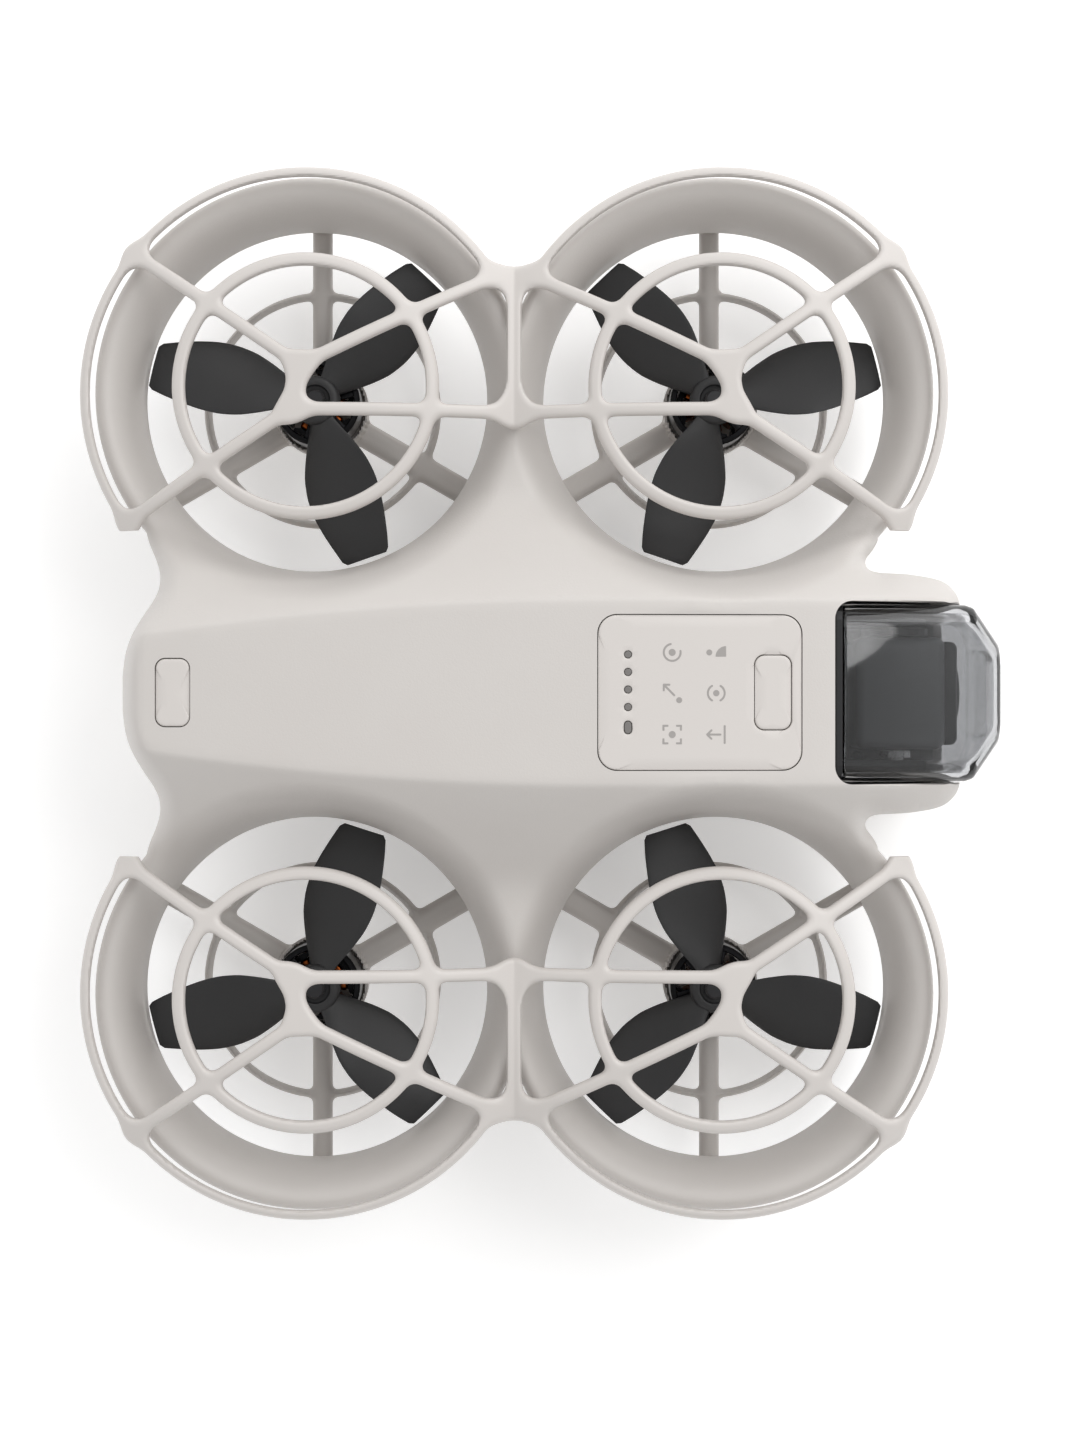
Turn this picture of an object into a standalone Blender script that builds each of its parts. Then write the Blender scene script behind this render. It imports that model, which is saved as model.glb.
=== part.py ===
"""Palm-sized quadcopter with four ducted rotors, clip-on guards and a tilting nose camera.

Metres, +Z up. +X is the nose, +Y the drone's left. The origin is the middle of the footprint,
on the ground. Lengths below are written in millimetres and turned into metres when a mesh is made.
"""
import math

import bmesh
import bpy
from mathutils import Matrix, Vector
from mathutils.geometry import delaunay_2d_cdt

MM = 0.001
GAP = 0.3                   # clearance between two pieces that touch

# Driving dimensions, mm
ROTOR_X = {"rear": -33.9, "front": 26.6}
ROTOR_Y = 44.6
MIDDLE_X = (ROTOR_X["rear"] + ROTOR_X["front"]) / 2
HEIGHT = 48.5               # top of the body
NOSE_X = 67.8               # front of the camera cover

THROAT_R = 26.0             # narrowest radius of a duct
THROAT_Z = 22.0
LIP_R = 32.0                # outer radius of the bell mouth
LIP_Z = 33.0
EDGE_Z = 31.5               # height of the upper shell's outer edge
EDGE_ROUND = 4.0            # width of the rounding along that edge
DUCT_FOOT_Z = 19.6          # lower end of the duct wall
MOUNT_FOOT_Z = 8.4
FLARE = 1.04                # the ring below the duct widens by this towards its foot
FLARE_SHIFT = 1.1           # and leans outwards by this, away from the body
DUCT_WALL = 1.3
MOUTH_SPAN = 2.2  # how far past the throat the mouth's underside may hang below the rim's
SKIN = 1.6                  # thickness of the shells
RIDGE_Z = 34.2              # saddle between the front and rear ducts

RIM_R = 32.6                # middle of the guard's rim
RIM_SHIFT = 0.43      # the rim stands out from the rotor by this, and in towards the body
RIM_END = 37.0              # degrees past the side where the rim stops
RIM_STOP = 34.0             # degrees where the rim turns into the notch
GUARD_TOP = 42.3            # middle height of the guard over the rotor's axis
GUARD_DROP = 7.4
GUARD_HALF = 1.0            # half the guard's height
GUARD_RING_R = 18.45
CROSSBAR_Y = 41.1

SEAM_Z = 29.7               # top of the lower shell
BODY_HALF = 16.3            # half the width of the lower shell
BELLY = 3.0                 # rounding under the lower shell

BAY_X = 42.4                # rear wall of the camera bay
BAY_HALF = 13.2
COVER_HALF = 12.9
COVER_WALL = 1.2
COVER_X = 43.9
TILT_AXIS = (52.8, 31.0)    # x and z of the camera's tilt axis

PANEL_X = (8.4, 37.6)
PANEL_HALF = 11.1
MODE_BUTTON = (33.45, 0.0, 5.3, 10.7)     # x, y, length, width
POWER_BUTTON = (-52.4, 0.0, 5.0, 9.8)
LIGHTS_X = 12.7
LIGHTS_Y = (5.4, 2.9, 0.4, -2.1, -5.0)
BOARD_Z = 37.0

WINDOW_X = 21.0             # middle of the sensor window in the belly
BAY_BACK_X = -8.0           # front end of the battery bay
BATTERY_HALF = 12.6
BATTERY_Z = (2.6, 17.7)
BATTERY_REAR_X = -60.5
SHELL_REAR_X = -56.0

PROP_R = 25.4
PROP_Z = 22.6
BLADE_TURN = {"rear_left": 48, "front_left": 12, "rear_right": 73, "front_right": 107}

SHELL_GREY = (0.66, 0.62, 0.59)
CHARCOAL = (0.025, 0.025, 0.027)
BLACK = (0.012, 0.012, 0.013)


# ---------------------------------------------------------------- helpers

def clear_scene():
    for thing in list(bpy.data.objects):
        bpy.data.objects.remove(thing, do_unlink=True)


def material(name, colour, rough=0.5, metal=0.0, alpha=1.0):
    made = bpy.data.materials.get(name)
    if made is None:
        made = bpy.data.materials.new(name)
        made.use_nodes = True
        shader = made.node_tree.nodes["Principled BSDF"]
        shader.inputs["Base Color"].default_value = (*colour, 1.0)
        shader.inputs["Roughness"].default_value = rough
        shader.inputs["Metallic"].default_value = metal
        shader.inputs["Alpha"].default_value = alpha
    return made


def piece(name, corners, faces, look, parent=None):
    """One closed mesh, its corners in mm from the parent's origin."""
    mesh = bpy.data.meshes.new(name)
    mesh.from_pydata([Vector(c) * MM for c in corners], [], faces)
    shape = bmesh.new()
    shape.from_mesh(mesh)
    bmesh.ops.recalc_face_normals(shape, faces=shape.faces)
    shape.to_mesh(mesh)
    shape.free()
    mesh.materials.append(look)
    made = bpy.data.objects.new(name, mesh)
    bpy.context.collection.objects.link(made)
    made.parent = parent
    return made


def pivot(name, at):
    """An empty on a joint's axis."""
    made = bpy.data.objects.new(name, None)
    made.location = Vector(at) * MM
    bpy.context.collection.objects.link(made)
    return made


def boolean(target, other, operation):
    other.hide_render = True
    other.display_type = "WIRE"
    step = target.modifiers.new(other.name, "BOOLEAN")
    step.operation = operation
    step.object = other
    return target


def arc(centre, radius, start, stop, count):
    """Points from one angle to another, both in degrees."""
    steps = [math.radians(start + (stop - start) * i / count) for i in range(count + 1)]
    return [(centre[0] + radius * math.cos(a), centre[1] + radius * math.sin(a)) for a in steps]


def circle(centre, radius, count):
    return arc(centre, radius, 0, 360, count)[:-1]


def rounded(centre, length, width, radius, count=3):
    """A rectangle with round corners, anticlockwise."""
    x, y = length / 2 - radius, width / 2 - radius
    points = []
    for sx, sy, start in ((1, 1, 0), (-1, 1, 90), (-1, -1, 180), (1, -1, 270)):
        points += arc((centre[0] + sx * x, centre[1] + sy * y), radius, start, start + 90, count)
    return points


def strip(line, width):
    """The outline of a flat bar of even width along a line of points."""
    left, right = [], []
    for i, point in enumerate(line):
        here = Vector(point)
        ahead = Vector(line[min(i + 1, len(line) - 1)]) - here
        behind = here - Vector(line[max(i - 1, 0)])
        way = (ahead.normalized() + behind.normalized()).normalized()
        side = Vector((-way.y, way.x)) * width / 2
        left.append(tuple(here + side))
        right.append(tuple(here - side))
    return left + right[::-1]


def anticlockwise(outline):
    turns = [Vector(a).cross(Vector(b)) for a, b in zip(outline, outline[1:] + outline[:1])]
    return outline if sum(turns) > 0 else outline[::-1]


def sheet(name, outlines, holes, top, bottom, look, inner=(), parent=None):
    """A closed sheet over the union of flat outlines less its holes, between two heights."""
    corners, loops = [], []
    for outline in list(outlines) + list(holes):
        loops.append(list(range(len(corners), len(corners) + len(outline))))
        corners += anticlockwise(outline)
    corners += list(inner)
    flat = delaunay_2d_cdt([Vector(c) for c in corners], [], loops, 1, 0.01)
    points, triangles, owners = flat[0], flat[2], flat[5]
    first_hole = len(outlines)
    kept = [t for t, owner in zip(triangles, owners) if owner and max(owner) < first_hole]
    used = sorted({i for t in kept for i in t})
    place = {old: new for new, old in enumerate(used)}
    kept = [[place[i] for i in t] for t in kept]
    count = len(used)
    upper = [(points[i].x, points[i].y, top(points[i].x, points[i].y)) for i in used]
    lower = [(points[i].x, points[i].y, bottom(points[i].x, points[i].y)) for i in used]
    sides = {(t[i], t[(i + 1) % 3]) for t in kept for i in range(3)}
    rims = [(a, b) for a, b in sides if (b, a) not in sides]
    faces = kept + [[i + count for i in t[::-1]] for t in kept]
    faces += [[b, a, a + count, b + count] for a, b in rims]
    return piece(name, upper + lower, faces, look, parent)


def prism(name, outline, low, high, look, parent=None):
    """A flat outline raised between two heights."""
    count = len(outline)
    corners = [(x, y, low) for x, y in outline] + [(x, y, high) for x, y in outline]
    faces = [list(range(count))[::-1], list(range(count, 2 * count))]
    faces += [[i, (i + 1) % count, (i + 1) % count + count, i + count] for i in range(count)]
    return piece(name, corners, faces, look, parent)


def box(name, low, high, look, parent=None):
    outline = [(low[0], low[1]), (high[0], low[1]), (high[0], high[1]), (low[0], high[1])]
    return prism(name, outline, low[2], high[2], look, parent)


def loft(name, rings, look, parent=None):
    """Rings of equally many points, joined in turn and closed at both ends."""
    count = len(rings[0])
    corners = [corner for ring in rings for corner in ring]
    faces = [list(range(count))[::-1], [i + count * (len(rings) - 1) for i in range(count)]]
    for r in range(len(rings) - 1):
        a, b = r * count, (r + 1) * count
        faces += [[a + i, a + (i + 1) % count, b + (i + 1) % count, b + i] for i in range(count)]
    return piece(name, corners, faces, look, parent)


def turned(name, profile, look, parent=None, sides=20, axis="z", at=(0, 0, 0)):
    """A closed profile of radius and height, turned about an axis through a point."""
    rings = []
    for i in range(sides):
        angle = 2 * math.pi * i / sides
        for radius, height in profile:
            spoke = (radius * math.cos(angle), radius * math.sin(angle))
            turned_to = {"z": (*spoke, height), "y": (spoke[0], height, spoke[1]),
                         "x": (height, *spoke)}[axis]
            rings.append(tuple(turned_to[k] + at[k] for k in range(3)))
    count = len(profile)
    faces = []
    for i in range(sides):
        a, b = i * count, (i + 1) % sides * count
        for k in range(count):
            after = (k + 1) % count
            if profile[k][0] == 0 and profile[after][0] == 0:
                continue
            faces.append([a + k, b + k, b + after, a + after])
    made = piece(name, rings, faces, look, parent)
    weld(made)
    return made


def weld(made):
    """Joins the points that meet on the axis."""
    shape = bmesh.new()
    shape.from_mesh(made.data)
    bmesh.ops.remove_doubles(shape, verts=shape.verts, dist=1e-6)
    bmesh.ops.recalc_face_normals(shape, faces=shape.faces)
    shape.to_mesh(made.data)
    shape.free()


# ---------------------------------------------------------------- upper shell

def bell(share):
    """Quarter ellipse from 0 to 1: upright at the start, level at the end."""
    share = min(max(share, 0.0), 1.0)
    return math.sqrt(1 - (1 - share) ** 2)


def rotors():
    return [(x, side * ROTOR_Y) for x in ROTOR_X.values() for side in (1, -1)]


def crown(x):
    """Height of the body's top along its middle."""
    nose = max(x - 38.0, 0.0)
    tail = max(-57.0 - x, 0.0)
    return HEIGHT - 0.0009 * (x + 5.0) ** 2 - 0.012 * nose ** 2 - 0.25 * tail ** 2


def plateau_half(x):
    """Half the width of the flat top."""
    share = min(max((10.0 - x) / 70.0, 0.0), 1.0)
    return 13.3 - 5.4 * share ** 2


def soft_max(values, blend):
    return blend * math.log(sum(math.exp((v - values[0]) / blend) for v in values)) + values[0]


def body_outline():
    """The body's plan from the tail along the left side to the nose, then back on the right."""
    left = [(-61.3, 6.0), (-61.0, 7.6), (-59.6, 10.2), (-57.2, 13.2), (-56.2, 15.8),
            (-56.4, 18.6), (-57.9, 22.4), (-58.7, 25.6),
            (-45.0, 30.0), (MIDDLE_X, 50.0), (40.0, 30.0),
            (51.6, 26.0), (50.0, 22.0), (48.4, 19.6), (49.6, 18.1), (55.0, 17.7),
            (59.6, 16.8), (61.8, 15.0), (62.5, 13.0)]
    return left + [(x, -y) for x, y in left[::-1]]


def shell_outlines():
    return [body_outline()] + [circle(rotor, LIP_R, 40) for rotor in rotors()]


def near(point, a, b):
    """Distance from a point to a stretch of line."""
    along = Vector(b) - Vector(a)
    share = (Vector(point) - Vector(a)).dot(along) / along.length_squared
    return (Vector(point) - Vector(a) - along * min(max(share, 0), 1)).length


def edge_distance(x, y):
    """Distance from the upper shell's outer edge, which follows the body and the bell mouths."""
    y = abs(y)
    outline = body_outline()
    ends = outline[0:8], outline[11:19]
    spans = [near((x, y), a, b) for part in ends for a, b in zip(part, part[1:])]
    spans.append(near((x, y), (-61.3, 6.0), (-61.3, -6.0)))
    for centre_x, away in ((ROTOR_X["rear"], -1), (ROTOR_X["front"], 1)):
        angle = math.degrees(math.atan2(y - ROTOR_Y, (x - centre_x) * away))
        if -36 < angle < 180 and away * (x - MIDDLE_X) > 0:
            spans.append(LIP_R - math.hypot(x - centre_x, y - ROTOR_Y))
    notch = ROTOR_Y + math.sqrt(LIP_R ** 2 - (MIDDLE_X - ROTOR_X["rear"]) ** 2)
    spans.append(math.hypot(x - MIDDLE_X, y - notch))
    return max(min(spans), 0.0)


def shell_top(x, y):
    """Height of the upper shell's outer surface."""
    side = abs(y) - plateau_half(x)
    body = crown(x) - 0.9 * soft_max([0.0, side], 0.25)
    ridge = RIDGE_Z - 0.05 * (x - MIDDLE_X) ** 2
    height = soft_max([body, ridge, LIP_Z], 1.2)
    for centre in rotors():
        away = math.hypot(x - centre[0], y - centre[1]) - THROAT_R
        height = THROAT_Z + (height - THROAT_Z) * bell(away / (LIP_R - THROAT_R))
    rise = max(height - EDGE_Z, 0.0)
    return height - rise * (1 - bell(edge_distance(x, y) / EDGE_ROUND))


def shell_under(x, y):
    """Height of the inner surface: the skin follows the top, and a duct wall hangs at each throat."""
    away = min(math.hypot(x - c[0], y - c[1]) for c in rotors()) - THROAT_R
    if away < DUCT_WALL + 0.05:
        return DUCT_FOOT_Z
    step = 0.1
    here = shell_top(x, y)
    slope = math.hypot(shell_top(x + step, y) - here, shell_top(x, y + step) - here) / step
    floor = DUCT_FOOT_Z if away < MOUTH_SPAN else EDGE_Z - SKIN
    return max(min(here - SKIN * math.sqrt(1 + min(slope, 3.0) ** 2), here - SKIN), floor)


def shell_points():
    """Points inside the shell that let it curve: rings round each throat and rows along the body."""
    points = []
    for centre in rotors():
        for radius in (THROAT_R + 0.4, THROAT_R + DUCT_WALL, THROAT_R + DUCT_WALL + 0.3, 28.8, 30.6):
            points += circle(centre, radius, 32)
    for side in (1, -1):
        for i in range(15):
            x = -59.0 + i * 100.0 / 14
            for out in (-0.3, 0.4):
                points.append((x, side * (plateau_half(x) + out)))
        points += [(-58.8, side * 5.0), (-58.8, side * 9.0), (-53.0, side * 14.0)]
        points += [(MIDDLE_X + dx, side * y) for y in (17, 20, 24, 29, 35, 44.6) for dx in (-2.2, 2.2)]
        points += [(x, side * (15.2 - 0.05 * (x - 46))) for x in (46, 50, 54, 58, 60.5)]
    clear = [p for p in points if not in_camera_bay(*p)]
    return [p for p in clear if min(math.dist(p, c) for c in rotors()) > THROAT_R + 0.2]


def in_camera_bay(x, y):
    return x > BAY_X - 0.3 and abs(y) < BAY_HALF + 0.3


def camera_bay():
    corner = 2.6
    return ([(72.0, -BAY_HALF), (72.0, BAY_HALF)]
            + arc((BAY_X + corner, BAY_HALF - corner), corner, 90, 180, 3)
            + arc((BAY_X + corner, -BAY_HALF + corner), corner, 180, 270, 3))


def panel_outline(grow):
    length = PANEL_X[1] - PANEL_X[0]
    return rounded((sum(PANEL_X) / 2, 0), length + 2 * grow, 2 * (PANEL_HALF + grow), 2.7 + grow)


def button_outline(button, grow):
    x, y, length, width = button
    return rounded((x, y), length + 2 * grow, width + 2 * grow, 1.5 + grow)


def upper_shell():
    look = material("shell_plastic", SHELL_GREY, 0.45)
    holes = [circle(rotor, THROAT_R, 32) for rotor in rotors()]
    holes += [camera_bay(), panel_outline(0.2), button_outline(POWER_BUTTON, 0.2)]
    sheet("upper_shell", shell_outlines(), holes, shell_top, shell_under, look, shell_points())


# ---------------------------------------------------------------- lower shell

def tub_outline(inset):
    """The lower shell's plan, moved inwards."""
    half = BODY_HALF - inset
    rear, front = SHELL_REAR_X + inset, 62.5 - inset
    return [(rear, half - 2.5), (rear + 2.5, half), (front - 4.0, half), (front, half - 3.6),
            (front, -half + 3.6), (front - 4.0, -half), (rear + 2.5, -half), (rear, -half + 2.5)]


def level(outline, height):
    return [(x, y, height) for x, y in outline]


def belly_screws():
    return [(x, side * 10.0) for x in (0.0, 50.0) for side in (1, -1)]


def lower_shell():
    look = material("shell_plastic", SHELL_GREY, 0.45)
    outside = [level(tub_outline(BELLY), 0), level(tub_outline(1.0), 1.0),
               level(tub_outline(0.0), BELLY), level(tub_outline(0.0), SEAM_Z)]
    shell = loft("lower_shell", outside, look)
    inside = [level(tub_outline(BELLY + 0.6), SKIN), level(tub_outline(SKIN), BELLY + 0.6),
              level(tub_outline(SKIN), SEAM_Z + 5)]
    boolean(shell, loft("tub_hollow", inside, look), "DIFFERENCE")
    for i, (x, y) in enumerate(belly_screws()):
        boss = prism(f"boss_{i}", circle((x, y), 2.4, 10), SKIN - 0.2, 9.0, look)
        boolean(shell, boss, "UNION")
        hole = [(0, -1), (1.9, -1), (1.9, 1.3), (1.1, 1.3), (1.1, 10), (0, 10)]
        boolean(shell, turned(f"screw_hole_{i}", hole, look, sides=10, at=(x, y, 0)), "DIFFERENCE")
    bay = box("battery_way", (-60, -BATTERY_HALF - 0.4, 2.2), (-51.3, BATTERY_HALF + 0.4, 18.1), look)
    boolean(shell, bay, "DIFFERENCE")
    nose = box("cover_way", (58, -BAY_HALF, 16.7), (70, BAY_HALF, 40), look)
    boolean(shell, nose, "DIFFERENCE")
    boolean(shell, box("usb_way", (-50.7, 12, 22.3), (-41.3, 20, 26.1), look), "DIFFERENCE")
    boolean(shell, prism("window_way", rounded((WINDOW_X, 0), 16.6, 8.6, 2.1), -1, 3, look), "DIFFERENCE")
    for i in range(5):
        slot = prism(f"vent_way_{i}", rounded((37 + i * 2.6, 0), 1.4, 12, 0.4, 1), -1, 3, look)
        boolean(shell, slot, "DIFFERENCE")


def belly_parts():
    """Screws in the belly and the downward sensors behind a dark window."""
    steel = material("screw_steel", (0.35, 0.35, 0.36), 0.3, 1.0)
    for i, (x, y) in enumerate(belly_screws()):
        name = f"body_screw_{('rear', 'front')[i // 2]}_{('left', 'right')[i % 2]}"
        profile = [(0, 0.5), (1.5, 0.5), (1.5, 1.6 - 0.6), (0.8, 1.6), (0.8, 8.0), (0, 8.0)]
        turned(name, profile, steel, sides=10, at=(x, y, 0))
    glass = material("sensor_glass", BLACK, 0.1)
    window = prism("sensor_window", rounded((WINDOW_X, 0), 16.0, 8.0, 1.8), 0.3, 1.5, glass)
    for i, x in enumerate((WINDOW_X - 4.0, WINDOW_X + 4.0)):
        boolean(window, prism(f"sensor_way_{i}", circle((x, 0), 2.5, 14), -1, 4, glass), "DIFFERENCE")
        name = ("vision_sensor", "infrared_sensor")[i]
        profile = [(0, 0.7), (1.6, 0.5), (2.2, 0.5), (2.2, 3.6), (0, 3.6)]
        turned(name, profile, glass, sides=14, at=(x, 0, 0))
    plated = material("connector_metal", (0.5, 0.5, 0.5), 0.3, 1.0)
    port = box("usb_port", (-50.4, 9.0, 22.6), (-41.6, 16.0, 25.8), plated)
    boolean(port, box("usb_mouth", (-49.9, 10.0, 23.1), (-42.1, 17.0, 25.3), plated), "DIFFERENCE")
    tongue = box("usb_tongue", (-49.0, 9.5, 23.9), (-43.0, 15.2, 24.5), plated)
    boolean(port, tongue, "UNION")


# ---------------------------------------------------------------- inside the body

def frame_and_board():
    metal = material("frame_alloy", (0.42, 0.43, 0.44), 0.45, 1.0)
    corners = [(-54.0, 8.0), (-50.0, 13.6), (41.9, 13.6)]
    outline = corners + [(x, -y) for x, y in corners[::-1]]
    frame = prism("mid_frame", outline, 30.0, 31.4, metal)
    for i, (x, y) in enumerate(((-48, 5), (-48, -5), (2, 9), (2, -9))):
        post = prism(f"post_{i}", circle((x, y), 1.6, 8), 31.0, BOARD_Z - GAP, metal)
        boolean(frame, post, "UNION")
    boolean(frame, box("frame_window", (-38, -7, 28), (-8, 7, 33), metal), "DIFFERENCE")
    laminate = material("board_laminate", (0.01, 0.05, 0.03), 0.5)
    shape = [(-56.0, 5.5), (-53.0, 7.0), (38.0, 10.5)]
    board = shape + [(x, -y) for x, y in shape[::-1]]
    prism("main_board", board, BOARD_Z, BOARD_Z + 1.2, laminate)
    plastic = material("switch_black", BLACK, 0.4)
    for name, button in (("power_switch", POWER_BUTTON), ("mode_switch", MODE_BUTTON)):
        x, y = button[0], button[1]
        low = BOARD_Z + 1.2 + GAP
        high = crown(x) - 2.4 - 1.0
        switch = prism(name, rounded((x, y), 4.4, 4.4, 0.5, 1), low, high - 0.8, plastic)
        stem = prism(f"{name}_stem", circle((x, y), 1.1, 10), low + 0.5, high, plastic)
        boolean(switch, stem, "UNION")
    contact = material("contact_plastic", BLACK, 0.5)
    box("battery_connector", (BAY_BACK_X - 1.6, -7, 5), (BAY_BACK_X + 2, 7, 15), contact)


def battery():
    look = material("battery_plastic", SHELL_GREY, 0.5)
    bay = pivot("battery_slide", (BATTERY_REAR_X, 0, 10))
    low, high = BATTERY_Z[0] - 10, BATTERY_Z[1] - 10
    length = BAY_BACK_X - 2.2 - BATTERY_REAR_X
    half = BATTERY_HALF
    outline = [(0, -half + 3), (2.5, -half), (length, -half), (length, half), (2.5, half), (0, half - 3)]
    pack = prism("battery_pack", outline, low, high, look, bay)
    for side, name in ((1, "left"), (-1, "right")):
        near_y, far_y = sorted((side * 10.4, side * 14.0))
        pocket = box(f"latch_way_{name}", (2.6, near_y, -5), (4.3, far_y, 5), look, bay)
        boolean(pack, pocket, "DIFFERENCE")
        button = pivot(f"battery_latch_{name}_slide", (0, side * 12.4, 0))
        button.parent = bay
        low_y, high_y = sorted((side * -0.7, side * 0.9))
        box(f"battery_latch_{name}", (2.9, low_y, -4.7), (4.0, high_y, 4.7), look, button)


def control_panel():
    look = material("shell_plastic", SHELL_GREY, 0.45)
    holes = [button_outline(MODE_BUTTON, 0.2)] + [circle((LIGHTS_X, y), 0.75, 8) for y in LIGHTS_Y]
    inner = [(x, side * 6.0) for x in (15.0, 22.0, 28.0) for side in (1, -1)]
    sheet("control_panel", [panel_outline(-0.05)], holes,
          shell_top, lambda x, y: shell_top(x, y) - 1.4, look, inner)
    glow = material("light_guide", (0.5, 0.5, 0.48), 0.3)
    base = crown(LIGHTS_X) - 1.4 - GAP
    guide = box("status_light_guide", (LIGHTS_X - 1.2, -6.5, base - 1.6), (LIGHTS_X + 1.2, 6.9, base), glow)
    for i, y in enumerate(LIGHTS_Y):
        pip = prism(f"pip_{i}", circle((LIGHTS_X, y), 0.5, 8), base - 0.6, base + 1.5, glow)
        boolean(guide, pip, "UNION")


def buttons():
    look = material("button_plastic", (0.64, 0.6, 0.57), 0.4)
    for name, button in (("power_button", POWER_BUTTON), ("mode_button", MODE_BUTTON)):
        x, y = button[0], button[1]
        axis = pivot(f"{name}_slide", (x, y, crown(x)))
        outline = rounded((0, 0), button[2] - 0.1, button[3] - 0.1, 1.45)
        sheet(name, [outline], [], lambda u, v: crown(x + u) - crown(x),
              lambda u, v: -2.4, look, parent=axis)


# ---------------------------------------------------------------- guards

def guard_height(x, y):
    """Middle height of the domed guard over the nearer rotor."""
    centre_x = min(ROTOR_X.values(), key=lambda c: abs(x - c))
    away = math.hypot(x - centre_x, abs(y) - ROTOR_Y)
    return GUARD_TOP - GUARD_DROP * (away / RIM_R) ** 2.4


def polar(centre, radius, angle):
    return arc(centre, radius, angle, angle, 1)[0]


def half_guard(away):
    """The bars over one rotor of the left guard; away is -1 for the rear rotor, 1 for the front."""
    centre = (ROTOR_X["rear"] if away < 0 else ROTOR_X["front"], ROTOR_Y)

    def turn(angle):
        return angle if away > 0 else 180 - angle

    upper = (centre[0] + away * 0.7, centre[1] + 2.8)
    lower = (centre[0] + away * 1.9, CROSSBAR_Y)
    rim = (centre[0] + away * RIM_SHIFT, centre[1] - RIM_SHIFT)
    bars = [strip(arc(rim, RIM_R, turn(-RIM_END), turn(180 - RIM_STOP), 26), 1.5),
            strip(arc(centre, GUARD_RING_R, turn(-5), turn(185), 14), 1.9),
            strip(arc(centre, GUARD_RING_R, turn(175), turn(365), 14), 1.9)]
    for start, angle in ((upper, 39), (upper, 180 - 31.5), (lower, -RIM_END + 1.0)):
        end = polar(rim, RIM_R, turn(angle))
        middle = [tuple(Vector(start).lerp(Vector(end), k / 4)) for k in range(5)]
        bars.append(strip(middle, 1.9))
    bars.append(strip([upper, lower], 3.8))
    bars.append(circle(upper, 2.2, 10))
    bars.append(circle(lower, 2.2, 10))
    across = [(lower[0] + (MIDDLE_X - lower[0]) * k / 4, CROSSBAR_Y) for k in range(5)]
    bars.append(strip(across, 2.0))
    notch = (MIDDLE_X, polar(rim, RIM_R, turn(180 - RIM_STOP))[1] - 1.2)
    bars.append(strip([polar(rim, RIM_R, turn(180 - RIM_STOP - 3)),
                       polar(rim, RIM_R, turn(180 - RIM_STOP + 1)), notch], 2.4))
    bars.append(strip([(MIDDLE_X, CROSSBAR_Y), (MIDDLE_X, 48), (MIDDLE_X, 55), notch], 2.3))
    return bars


def guards():
    look = material("guard_plastic", SHELL_GREY, 0.45)
    bars = half_guard(-1) + half_guard(1) + [circle((MIDDLE_X, CROSSBAR_Y), 2.6, 12)]
    for name, side in (("guard_left", 1), ("guard_right", -1)):
        outlines = [[(x, side * y) for x, y in bar] for bar in bars]
        sheet(name, outlines, [], lambda x, y: guard_height(x, y) + GUARD_HALF,
              lambda x, y: guard_height(x, y) - GUARD_HALF, look)
    steel = material("screw_steel", (0.35, 0.35, 0.36), 0.3, 1.0)
    for name, side in (("guard_screw_left", 1), ("guard_screw_right", -1)):
        under = EDGE_Z - SKIN - 1.0
        profile = [(0, under - 1.4), (1.5, under - 1.4), (1.5, under), (0, under)]
        turned(name, profile, steel, sides=12, at=(MIDDLE_X, side * CROSSBAR_Y, 0))


# ---------------------------------------------------------------- rotors

def rotor_places():
    for x_name, x in ROTOR_X.items():
        for y_name, side in (("left", 1), ("right", -1)):
            yield f"{x_name}_{y_name}", x, side


def motor_mount(name, x, side):
    """Three struts and a thin ring that carry the motor's cup inside a ring under the duct."""
    look = material("shell_plastic", SHELL_GREY, 0.45)
    axis = pivot(f"mount_{name}_centre", (x, side * ROTOR_Y, 0))
    bars = [strip(arc((0, 0), THROAT_R + DUCT_WALL / 2, start, start + 190, 13), DUCT_WALL)
            for start in (0, 180)]
    bars += [strip(arc((0, 0), 17.9, start, start + 190, 9), 1.3) for start in (0, 180)]
    for angle, width in ((90, 3.0), (-30, 3.9), (210, 3.9)):
        line = [polar((0, 0), r, side * angle) for r in (4.0, 12.0, THROAT_R - 0.3, THROAT_R + 0.6)]
        bars.append(strip(line, width))
    bars.append(circle((0, 0), 7.3, 16))
    cup = [circle((0, 0), 6.9, 16), circle((0, 0), 7.1, 16)]

    def top(u, v):
        away = math.hypot(u, v)
        if away > THROAT_R - 0.15:
            return DUCT_FOOT_Z - GAP
        return 12.4 if 7.0 < away < 7.4 else 10.6

    def bottom(u, v):
        return MOUNT_FOOT_Z

    inner = cup[0] + cup[1]
    made = sheet(f"motor_mount_{name}", bars, [], top, bottom, look, inner, axis)
    away = 1 if x > 0 else -1
    for vertex in made.data.vertices:
        u, v, w = (value / MM for value in vertex.co)
        if math.hypot(u, v) > THROAT_R - 0.15 and w < MOUNT_FOOT_Z + 0.1:
            vertex.co = (Vector((u, v, 0)) * FLARE + Vector((away, side, 0)) * FLARE_SHIFT
                         + Vector((0, 0, w))) * MM


def star(teeth, outer, inner):
    """The plan of a stator: wide pole shoes on thin teeth."""
    points = []
    for i in range(teeth):
        middle = 360 * i / teeth
        for radius, offset in ((inner, -8), (outer - 0.9, -8), (outer - 0.4, -16),
                               (outer, -15), (outer, 15), (outer - 0.4, 16),
                               (outer - 0.9, 8), (inner, 8)):
            points.append(polar((0, 0), radius, middle + offset))
    return points


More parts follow.
